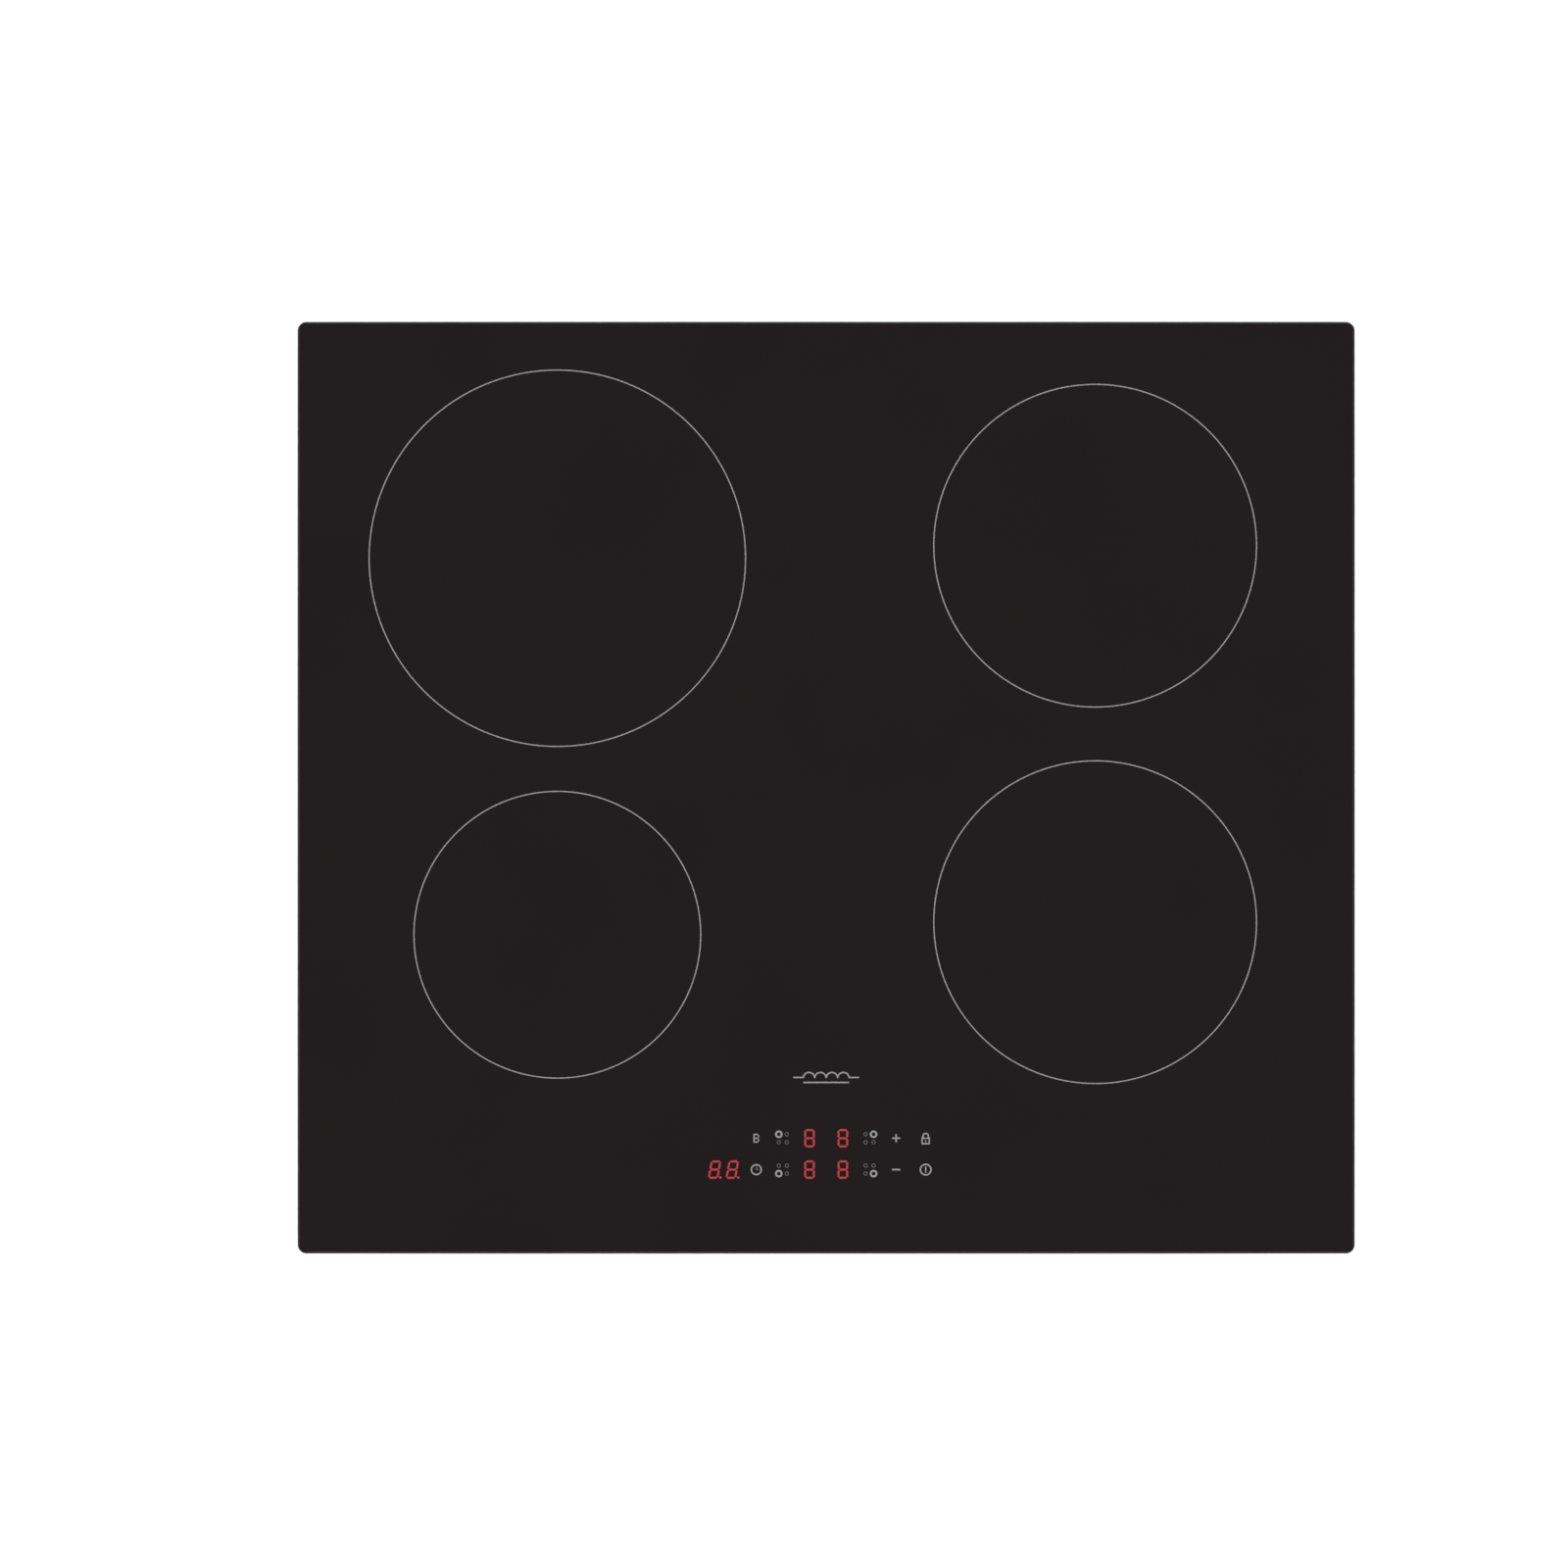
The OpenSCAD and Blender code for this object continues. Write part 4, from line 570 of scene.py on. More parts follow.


# lacquered copper strands: fine wires seen as streaks round the rope, with painted shade darkening the
# grooves between them
def litzMaterial():
    made, tree, shader = newMaterial("litzRope")
    blotch = pattern(tree, "noise", 350, 4)
    fine = pattern(tree, "noise", 2600, 3, (1, 1, 0.3))
    lacquer = mixColour(tree, blotch, (0.42, 0.14, 0.045), (0.60, 0.23, 0.085))
    # the dark colour is painted shade, laid where the strand pattern is low, in the grooves of its bump
    tree.links.new(mixColour(tree, spread(tree, fine, 0, 1, 0.35, 0.65), (0.22, 0.065, 0.022), lacquer),
                   shader.inputs["Base Color"])
    tree.links.new(spread(tree, blotch, 0.24, 0.4), shader.inputs["Roughness"])
    addBump(tree, shader, [(fine, 0.35, 0.0002)])
    shader.inputs["Metallic"].default_value = 0.85
    shader.inputs["Coat Weight"].default_value = 0.5
    return made


# green sleeve with a yellow stripe on either side
def earthWireMaterial():
    made, tree, shader = newMaterial("earthWire")
    stripe = pattern(tree, "bands", 120, 0, (1, 0, 0))
    stripe = spread(tree, stripe, 0, 1, 0.45, 0.55)
    tree.links.new(mixColour(tree, stripe, (0.05, 0.22, 0.03), (0.72, 0.55, 0.03)),
                   shader.inputs["Base Color"])
    grain = pattern(tree, "noise", 400, 2)
    tree.links.new(spread(tree, grain, 0.32, 0.45), shader.inputs["Roughness"])
    addBump(tree, shader, [(grain, 0.08, 0.0001)])
    return made


materials["redLight"] = redLightMaterial()
materials["powerBoard"] = circuitBoardMaterial("powerBoard", 75)
materials["touchBoard"] = circuitBoardMaterial("touchBoard", 150)
materials["litzRope"] = litzMaterial()
materials["earthWire"] = earthWireMaterial()
print("materials:", len(materials))


def dress(obj, look, body, nodeName):
    obj.data.materials.clear()
    obj.data.materials.append(materials[look])
    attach(obj, body)
    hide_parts(nodeName)
    return obj


# a piece that keeps the CAD's shape, with softer edges; the rounding is in millimetres
def asDrawn(nodeName, pieceName, rounding, segments, look, body="base"):
    return dress(softCopy(nodeName, pieceName, rounding * mm, segments), look, body, nodeName)


# camera, floor and light

shot = dict(lens=85, sensor=36, height=2.065, aimX=-0.02354, aimY=0.00208)
glassLow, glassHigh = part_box("glass_panel")
bpy.ops.object.camera_add(location=(shot["aimX"], shot["aimY"], glassHigh.z + shot["height"]),
                          rotation=(0, 0, 0))
camera = bpy.context.object
camera.data.lens, camera.data.sensor_width = shot["lens"], shot["sensor"]
camera.data.clip_start, camera.data.clip_end = 0.05, 50
bpy.context.scene.camera = camera

studio = dict(floorSize=14, floorColours=((0.90, 0.90, 0.90), (0.88, 0.88, 0.88)),
              worldColour=(0.93, 0.95, 1.0),
              worldStrength=0.30, lightSize=1.7, lightReach=2.3, lightHeight=2.1, lightPower=62)
bpy.ops.mesh.primitive_plane_add(size=studio["floorSize"], location=(0, 0, cadBox[0].z - 0.0002))
floor = bpy.context.object
floor.name = "floor"
floorPaint, tree, shader = newMaterial("studioFloor")
tint = pattern(tree, "noise", 3, 2)
tree.links.new(mixColour(tree, tint, *studio["floorColours"]), shader.inputs["Base Color"])
shader.inputs["Roughness"].default_value = 0.9
shader.inputs["Specular IOR Level"].default_value = 0.1
# seen from below the floor lets the view through
side = tree.nodes.new("ShaderNodeNewGeometry")
clear = tree.nodes.new("ShaderNodeBsdfTransparent")
blend = tree.nodes.new("ShaderNodeMixShader")
output = [node for node in tree.nodes if node.type == "OUTPUT_MATERIAL"][0]
tree.links.new(side.outputs["Backfacing"], blend.inputs["Fac"])
tree.links.new(shader.outputs["BSDF"], blend.inputs[1])
tree.links.new(clear.outputs["BSDF"], blend.inputs[2])
tree.links.new(blend.outputs["Shader"], output.inputs["Surface"])
floor.data.materials.append(floorPaint)

world = bpy.data.worlds.new("studio")
bpy.context.scene.world = world
world.use_nodes = True
sky = world.node_tree.nodes["Background"]
sky.inputs["Color"].default_value = (*studio["worldColour"], 1)
sky.inputs["Strength"].default_value = studio["worldStrength"]
for index, (dx, dy) in enumerate(((-1, 0), (1, 0), (0, 1), (0, -1))):
    place = Vector((dx * studio["lightReach"], dy * studio["lightReach"], studio["lightHeight"]))
    bpy.ops.object.light_add(type="AREA", location=place)
    lamp = bpy.context.object
    lamp.name = "softLight" + str(index)
    lamp.data.size = studio["lightSize"]
    lamp.data.energy = studio["lightPower"]
    lamp.rotation_euler = (-place).to_track_quat("-Z", "Y").to_euler()
bpy.context.scene.view_settings.view_transform = "Standard"
print("camera, floor and lights")


# glass and print

def paintFaces(obj, look, test):  # a second finish for the faces that pass the test
    obj.data.materials.append(materials[look])
    slot = len(obj.data.materials) - 1
    for face in obj.data.polygons:
        if test(face.center, face.normal):
            face.material_index = slot


glass = dict(cornerRadius=5 * mm, bevel=1 * mm, bevelRounding=0.15 * mm, underRounding=0.4 * mm)


def makeGlass():
    low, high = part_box("glass_panel")
    obj = roundedSlab(low, high, glass["cornerRadius"], 12)
    bevelEdges(lambda a, b: min(a.z, b.z) > high.z - mm / 10, glass["bevel"])
    bevelEdges(lambda a, b: max(a.z, b.z) < low.z + mm / 10, glass["underRounding"], 3)
    roundEdges(obj, glass["bevelRounding"], 2, 20)
    smooth(obj, 30)
    settle(obj, "glassPanel")
    dress(obj, "ceramicGlass", "base", "glass_panel")
    paintFaces(obj, "groundEdge", lambda place, normal: abs(normal.z) < 0.95)


makeGlass()

prints = dict(ringLine=0.6, ringRise=0.05, ringSink=0.1, ringShoulder=0.06, markRounding=0.03 * mm,
              smallMark=2.6 * mm, digitRounding=0.05)


def makeRings():
    top = glassHigh.z
    line, rise, sink, edge = [prints[k] for k in ("ringLine", "ringRise", "ringSink", "ringShoulder")]
    rings = []
    for low, high in solids("zone_rings"):
        centre, r = (low + high) / 2, (high.x - low.x) / 2 / mm
        rings.append(turned(centre.x, centre.y, top, [
            (r - line, -sink), (r, -sink), (r, rise / 2), (r - edge, rise),
            (r - line + edge, rise), (r - line, rise / 2)], 256))
    dress(smooth(join(rings, "zoneRingPrints")), "greyEnamel", "base", "zone_rings")


# the small rings of the zone keys are printed fainter than the other marks
def makeMarks():
    softCopy("control_icons", "keyPrints", prints["markRounding"], 1)
    editAll()
    bpy.ops.mesh.separate(type="LOOSE")
    objectMode()
    loose = [o for o in bpy.context.selected_objects if o.type == "MESH"]
    for one in loose:
        settle(one, "mark")
    small = [o for o in loose if max(o.dimensions.x, o.dimensions.y) < prints["smallMark"]
             and o.dimensions.x > prints["smallMark"] / 2]
    large = [o for o in loose if o not in small]
    dress(join(large, "keyPrints"), "greyEnamel", "base", "control_icons")
    dress(join(small, "faintKeyPrints"), "dimEnamel", "base", "control_icons")
    asDrawn("display_segments", "litDigits", prints["digitRounding"], 2, "redLight")


makeRings()
makeMarks()
print("glass and print")


# foam seal and silicone bead

foamSeal = dict(width=10 * mm, corner=3 * mm, rounding=0.75 * mm)
beadSeal = dict(width=4 * mm, corner=10 * mm, rounding=0.5 * mm)


# a rounded strip that runs all the way round
def makeSeal(seal, nodeName, pieceName, look):
    low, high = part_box(nodeName)
    width, corner = seal["width"], seal["corner"]
    obj = roundedSlab(low, high, corner, 10)
    inset = Vector((width, width, -mm))
    cutWith(obj, [roundedSlab(low + inset, high - inset, max(corner - width, mm), 10)])
    roundEdges(obj, seal["rounding"], 4, 40)
    dress(settle(smooth(obj, 50), pieceName), look, "base", nodeName)


makeSeal(foamSeal, "worktop_seal", "worktopSeal", "foam")
makeSeal(beadSeal, "glass_adhesive", "siliconeBead", "silicone")


# steel tray, with its bends rounded as a press leaves them

tray = dict(outerBend=1.9 * mm, innerBend=1.1 * mm, edgeRounding=0.12 * mm, wall=0.8 * mm, flange=5 * mm,
            corner=7 * mm, wallBand=8 * mm, near=0.05 * mm)


def makeTray():
    obj = softCopy("base_tray", "steelTray", 0)
    low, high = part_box("base_tray")
    flangeLow = high.z - tray["wall"]
    floorTop = low.z + tray["wall"]
    halfX, halfY = high.x - tray["flange"], high.y - tray["flange"]
    gap, band, corner = tray["near"], tray["wallBand"], tray["corner"]

    # both ends of an edge lie at this height, on the wall or in the round of a corner
    def rim(ends, z, inset):
        return all(abs(p.z - z) < gap
                   and (abs(p.x) > halfX - inset - band or abs(p.y) > halfY - inset - band)
                   and (abs(abs(p.x) - (halfX - inset)) < gap or abs(abs(p.y) - (halfY - inset)) < gap
                        or (abs(p.x) > halfX - corner and abs(p.y) > halfY - corner)) for p in ends)

    for z, inset, width in ((low.z, 0, tray["outerBend"]), (floorTop, tray["wall"], tray["innerBend"]),
                            (flangeLow, 0, tray["innerBend"]), (high.z, tray["wall"], tray["outerBend"])):
        pick(obj)
        bevelEdges(lambda *ends: rim(ends, z, inset), width, 4, True)
    roundEdges(obj, tray["edgeRounding"], 1, 50)
    smooth(obj, 40)
    dress(settle(obj, "steelTray"), "zincSheet", "base", "base_tray")


makeTray()
print("seal and tray")


# side springs: one strip each, bent back on itself at its foot

sideSpring = dict(strip=0.8 * mm, plateWidth=26 * mm, leafWidth=24 * mm, plateTop=-7 * mm,
                  bendHeight=-44.05 * mm, bendRadius=0.55 * mm, elbow=(8.1 * mm, -16 * mm),
                  tip=(6.1 * mm, -10 * mm), screwHeight=-25 * mm, screwHole=1.7 * mm,
                  driverHole=4.5 * mm, rounding=0.15 * mm, crossingStart=0.8 * mm,
                  crossingEnd=1.3 * mm)


def makeSideSpring(side, corner):
    s = sideSpring
    nodeName = "clip_leaf_" + corner
    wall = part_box("clip_plates")[1].x - s["strip"]
    y = middle(nodeName).y
    half, r = s["strip"] / 2, s["bendRadius"]
    line = [(half, s["plateTop"]), (half, -15 * mm), (half, -35 * mm), (half, s["bendHeight"])]
    line += [(half + r - r * math.cos(a), s["bendHeight"] - r * math.sin(a))
             for a in [math.pi * k / 8 for k in range(1, 8)]]
    foot = (half + 2 * r, s["bendHeight"])
    ex, ez = s["elbow"]
    tx, tz = s["tip"]
    line += [foot] + [(foot[0] + (ex - foot[0]) * k / 6, foot[1] + (ez - foot[1]) * k / 6)
                      for k in range(1, 6)]
    turn = [(ex - 0.55 * mm, ez - 1.9 * mm), (ex - 0.1 * mm, ez - 0.6 * mm), (ex - 0.05 * mm, ez + 0.6 * mm),
            (ex - 0.5 * mm, ez + 1.8 * mm)]
    line += turn + [(tx, tz), (tx - 0.9 * mm, tz + 1.6 * mm)]
    obj = chain([(x, -s["plateWidth"] / 2, z) for x, z in line])
    editAll()
    bpy.ops.mesh.extrude_region_move(TRANSFORM_OT_translate={"value": (0, s["plateWidth"], 0)})
    objectMode()
    for vertex in obj.data.vertices:
        if vertex.co.x > half + r:
            vertex.co.y *= s["leafWidth"] / s["plateWidth"]
    pick(obj)
    sheet = obj.modifiers.new("Strip", "SOLIDIFY")
    sheet.thickness, sheet.offset, sheet.use_even_offset = s["strip"], 0, True
    bpy.ops.object.modifier_apply(modifier=sheet.name)
    holes = [rod(-1 * mm, 0, s["screwHeight"], s["screwHole"], 2.2 * mm, 32, "X"),
             rod(1.9 * mm, 0, s["screwHeight"], s["driverHole"], 9 * mm, 48, "X")]
    cutWith(obj, holes)
    bpy.ops.object.mode_set(mode="EDIT")
    cleanUp(0.00001)
    objectMode()
    roundEdges(obj, s["rounding"], 2, 50)
    smooth(obj, 35)
    if side < 0:
        turnedStrip = copyOf(obj, turn=math.pi)
        removeAll([obj])
        obj = turnedStrip
    pick(obj)
    bpy.ops.transform.translate(value=(side * wall, y, 0))
    settle(obj, "sideSpring_" + corner)
    obj.data.materials.append(materials["springSteel"])
    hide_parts("clip_plates", nodeName)
    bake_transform(obj)


for sideName, side in (("left", -1), ("right", 1)):
    for endName in ("front", "rear"):
        makeSideSpring(side, endName + "_" + sideName)
print("side springs")


# screws: a pan head with a cross recess over a threaded shank

screw = dict(headRadius=3.0, shankRadius=1.6, rootRadius=1.3, pitch=0.8, recessWidth=0.9 * mm,
             recessReach=0.55, recessDepth=0.55, panHeight=1.8, coverHeight=1.0)


def panScrew(length, h):
    r, root, pitch = screw["headRadius"], screw["rootRadius"], screw["pitch"]
    outline = [(0, h), (r * 0.5, h * 0.98), (r * 0.8, h * 0.82), (r * 0.95, h * 0.55), (r, h * 0.25),
               (r, 0.1), (r * 0.97, 0), (root, 0)]
    for k in range(int((length - 0.6) / pitch)):
        outline += [(root, -0.1 - k * pitch), (screw["shankRadius"], -0.1 - (k + 0.4) * pitch),
                    (root, -0.1 - (k + 0.8) * pitch)]
    outline += [(root * 0.8, -length), (0, -length)]
    obj = turned(0, 0, 0, outline, 20, closed=False)
    depth, reach, w = h * screw["recessDepth"] * mm, r * screw["recessReach"] * mm, screw["recessWidth"]
    bars = [block((-reach, -w / 2, h * mm - depth), (reach, w / 2, h * mm + mm)),
            block((-w / 2, -reach, h * mm - depth), (w / 2, reach, h * mm + mm))]
    cutWith(obj, bars)
    return smooth(obj, 35)


# puts a screw where the CAD has each one, with its axis (0 for X, 2 for Z) and the side its head is on
def placeScrews(boxes, headHeight, axis, sign, pieceName, nodeName):
    made = []
    for low, high in boxes:
        centre = (low + high) / 2
        model = panScrew((high - low)[axis] / mm - headHeight, headHeight)
        if axis == 2:
            placed = copyOf(model, turn=0 if sign > 0 else math.pi, axis="X")
        else:
            sign = 1 if low.x > 0 else -1
            placed = copyOf(model, turn=sign * math.pi / 2, axis="Y")
        centre[axis] = (high[axis] if sign > 0 else low[axis]) - sign * headHeight * mm
        pick(placed)
        bpy.ops.transform.translate(value=centre)
        applyPlace()
        removeAll([model])
        made.append(placed)
    dress(smooth(join(made, pieceName)), "zincScrew", "base", nodeName)


# the screws of the side springs lie along X and head outwards; those of the cover point up
caseScrews = solids("case_screws")
sideScrews = [box for box in caseScrews if abs(box[0].x + box[1].x) > 0.4]
coverScrews = [box for box in caseScrews if abs(box[0].x + box[1].x) < 0.4]
placeScrews(sideScrews, screw["panHeight"], 0, 1, "sideSpringScrews", "case_screws")
placeScrews(coverScrews, screw["coverHeight"], 2, -1, "coverScrews", "case_screws")
placeScrews(solids("chassis_screws"), screw["panHeight"], 2, 1, "chassisScrews", "chassis_screws")
print("screws")


# cable bushing, terminal box and its cover

bushing = dict(flangeRadius=11, flangeThickness=2.5, bodyRadius=8, bore=5.5, ribs=20, ribHeight=1.1,
               ribHalf=0.55)


# drawn upright with its outer face at zero, then laid along +Y
def makeBushing():
    low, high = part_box("cable_bushing")
    centre, back = middle("cable_bushing"), -(high.y - low.y) / mm
    b = bushing
    flange, neck, bore, collar = b["flangeRadius"], b["bodyRadius"], b["bore"], -b["flangeThickness"]
    body = turned(0, 0, 0, [
        (bore + 0.5, 0), (flange - 1.6, 0), (flange - 0.7, -0.3), (flange - 0.5, -1.0),
        (flange - 0.5, collar + 0.2), (flange - 0.8, collar), (neck, collar), (neck, collar - 1.5),
        (neck - 0.35, collar - 1.8), (neck - 0.35, collar - 3), (neck, collar - 3.4), (neck, back + 1.2),
        (neck - 0.8, back), (bore + 0.4, back), (bore, back + 0.4), (bore, -0.5)], 96)
    rib = block(((flange - b["ribHeight"]) * mm, -b["ribHalf"] * mm, (collar + 0.15) * mm),
                (flange * mm, b["ribHalf"] * mm, -0.7 * mm), 0.2 * mm)
    ribs = [copyOf(rib, turn=2 * math.pi * k / b["ribs"]) for k in range(b["ribs"])]
    removeAll([rib])
    obj = smooth(join([body] + ribs, "cableBushing"))
    bpy.ops.transform.rotate(value=math.pi / 2, orient_axis="X", center_override=(0, 0, 0))
    if obj.matrix_world.to_3x3().col[2].y < 0:
        bpy.ops.transform.rotate(value=math.pi, orient_axis="X", center_override=(0, 0, 0))
    bpy.ops.transform.translate(value=(centre.x, high.y, centre.z))
    dress(settle(obj, "cableBushing"), "blackPlastic", "base", "cable_bushing")


makeBushing()
asDrawn("terminal_box", "terminalBox", 0.5, 3, "blackPlastic")
asDrawn("terminal_cover", "terminalCover", 0.25, 2, "blackPlastic")
asDrawn("terminal_block", "terminalBlock", 0.3, 2, "whitePlastic")
asDrawn("terminal_screws", "terminalBlockScrews", 0.15, 2, "brassPart")
print("cable entry and terminals")


# circuit boards and their carriers

asDrawn("board_carriers", "boardCarriers", 0.3, 2, "whitePlastic")
asDrawn("touch_carrier", "touchCarrier", 0.3, 2, "whitePlastic")
asDrawn("power_board_left", "powerBoardLeft", 0.12, 1, "powerBoard")
asDrawn("power_board_right", "powerBoardRight", 0.12, 1, "powerBoard")
asDrawn("filter_board", "filterBoard", 0.12, 1, "powerBoard")


# parts that are soldered on the boards; each is drawn at the origin, standing on z = 0

small = 0.25 * mm


# a transistor in its flat case, with a stepped front, a hole and three legs
transistor = dict(width=16 * mm, depth=5 * mm, height=21 * mm, hole=1.8 * mm, holeDown=3.5 * mm,
                  rim=1.1 * mm, sunk=0.6 * mm, legs=(-5 * mm, 0, 5 * mm), legWidth=1.2 * mm,
                  legHeight=1.05 * mm)


def makeTransistor():
    t = transistor
    w, d, h = t["width"], t["depth"], t["height"]
    body = block((-d / 2, -w / 2, mm), (d / 2, w / 2, mm + h))
    selectFaces(lambda place, normal: normal.x < -0.9)
    bpy.ops.mesh.inset(thickness=t["rim"])
    bpy.ops.transform.translate(value=(-0.01 * mm, 0, 0))
    bpy.ops.mesh.extrude_region_move(TRANSFORM_OT_translate={"value": (t["sunk"], 0, 0)})
    objectMode()
    cutWith(body, [rod(-d, 0, mm + h - t["holeDown"], t["hole"], 2 * d, 24, "X")])
    roundEdges(body, small, 2, 40)
    legs = [post(0, y, 0, mm, t["legWidth"], t["legHeight"], 0.1 * mm, 1) for y in t["legs"]]
    return smooth(body), smooth(join(legs, "legs"))


# a boxed film capacitor: a rounded case with a sunk top that holds a filled panel
film = dict(rim=1.4 * mm, sunk=0.5 * mm, fill=0.25 * mm, corner=1.2 * mm, panelCorner=0.8 * mm)


def filmCapacitor(w, d, h):
    rim, sunk = film["rim"], film["sunk"]
    body = roundedSlab((-w / 2, -d / 2, 0), (w / 2, d / 2, h), film["corner"], 4)
    cutWith(body, [block((rim - w / 2, rim - d / 2, h - sunk), (w / 2 - rim, d / 2 - rim, h + sunk))])
    roundEdges(body, small / 2, 1, 40)
    panel = roundedSlab((2 * rim - w / 2, 2 * rim - d / 2, h - 2 * sunk),
                        (w / 2 - 2 * rim, d / 2 - 2 * rim, h - film["fill"]), film["panelCorner"], 4)
    return smooth(join([body, panel], "filmCapacitor"))


# a can capacitor in its shrunk sleeve, with a bead near its foot and a scored top
def canCapacitor(r, h):
    body = turned(0, 0, 0, [
        (0, 0), (r - 0.6, 0), (r, 0.6), (r, 1.5), (r - 0.5, 2.1), (r, 2.7), (r, h - 0.7), (r - 0.3, h - 0.2),
        (r - 0.9, h), (r - 1.3, h - 0.3), (0, h - 0.3)], 32, closed=False)
    score = [block((-r * 0.6 * mm, -0.2 * mm, (h - 0.6) * mm), (r * 0.6 * mm, 0.2 * mm, (h + 1) * mm)),
             block((-0.2 * mm, -r * 0.6 * mm, (h - 0.6) * mm), (0.2 * mm, r * 0.6 * mm, (h + 1) * mm))]
    return smooth(cutWith(body, score))


# a screw terminal: housing with a stepped face, wire mouths and slotted screws
terminal = dict(step=0.22, screwBack=0.12, sunk=2.5 * mm, mouthDepth=2.5 * mm, mouthLow=2 * mm,
                slotHalf=0.3 * mm, slotBottom=1.7 * mm)


def screwTerminal(w, d, h, ways):
    t = terminal
    body = block((-w / 2, -d / 2, 0), (w / 2, d / 2, h))
    bevelEdges(lambda a, b: min(a.z, b.z) > h - mm / 10 and min(a.y, b.y) > d / 2 - mm / 10,
               min(w, d) * t["step"])
    pitch, y = w / ways, -d * t["screwBack"]
    tools, screws = [], []
    for k in range(ways):
        x = (k - (ways - 1) / 2) * pitch
        tools.append(rod(x, y, h - t["sunk"], pitch * 0.3, 4 * mm, 24))
        tools.append(block((x - pitch * 0.28, d / 2 - t["mouthDepth"], t["mouthLow"]),
                           (x + pitch * 0.28, d, t["mouthLow"] + pitch * 0.6)))
        r = pitch / mm * 0.27
        head = turned(x, y, h - t["sunk"], [(0, 0), (r, 0), (r, 1.2), (r * 0.8, 1.5), (0, 1.5)], 20,
                      closed=False)
        cutWith(head, [block((x - pitch * 0.3, y - t["slotHalf"], h - t["slotBottom"]),
                             (x + pitch * 0.3, y + t["slotHalf"], h))])
        screws.append(head)
    cutWith(body, tools)
    roundEdges(body, small, 2, 40)
    return smooth(body), smooth(join(screws, "terminalScrews"))


# a plug in its header, with three grip ribs
def plug(w, d, h):
    base = post(0, 0, 0, w, d, h * 0.45, small)
    top = post(0, 0, h * 0.45, w * 0.88, d * 0.8, h * 0.55, small)
    ribs = [post(x * w, 0, h * 0.5, w * 0.05, d * 0.94, h * 0.42, 0.1 * mm, 1) for x in (-0.3, 0, 0.3)]
    return smooth(join([base, top] + ribs, "plug"))


# a ring core wound with wire; each turn is a rounded loop round the core's section
def toroid(r, hole, h, wire, count, gap):
    top = h - 2 * wire / mm
    core = turned(0, 0, wire, [(hole + 1, 0), (r - 1, 0), (r, 1), (r, top - 1), (r - 1, top),
                               (hole + 1, top), (hole, top - 1), (hole, 1)], 48)
    inner, outer = hole * mm - wire * 0.4, r * mm - wire * 0.4
    low, high = wire * 0.5, h * mm - wire * 0.5
    start = ((inner + outer) / 2, 0, low)
    loop = tube([start, (outer, 0, low), (outer, 0, high), (inner, 0, high), (inner, 0, low), start],
                wire / 2, wire, 3, 8, "loop")
    loops = []
    for half in (0, 1):
        for k in range(count):
            angle = math.pi * half + gap / 2 + (math.pi - gap) * (k + 0.5) / count
            loops.append(copyOf(loop, turn=angle))
    removeAll([loop])
    return smooth(core), smooth(join(loops, "windingLoops"), 60)


def sizeOf(low, high):
    return tuple(round((high[k] - low[k]) / mm) for k in range(3))


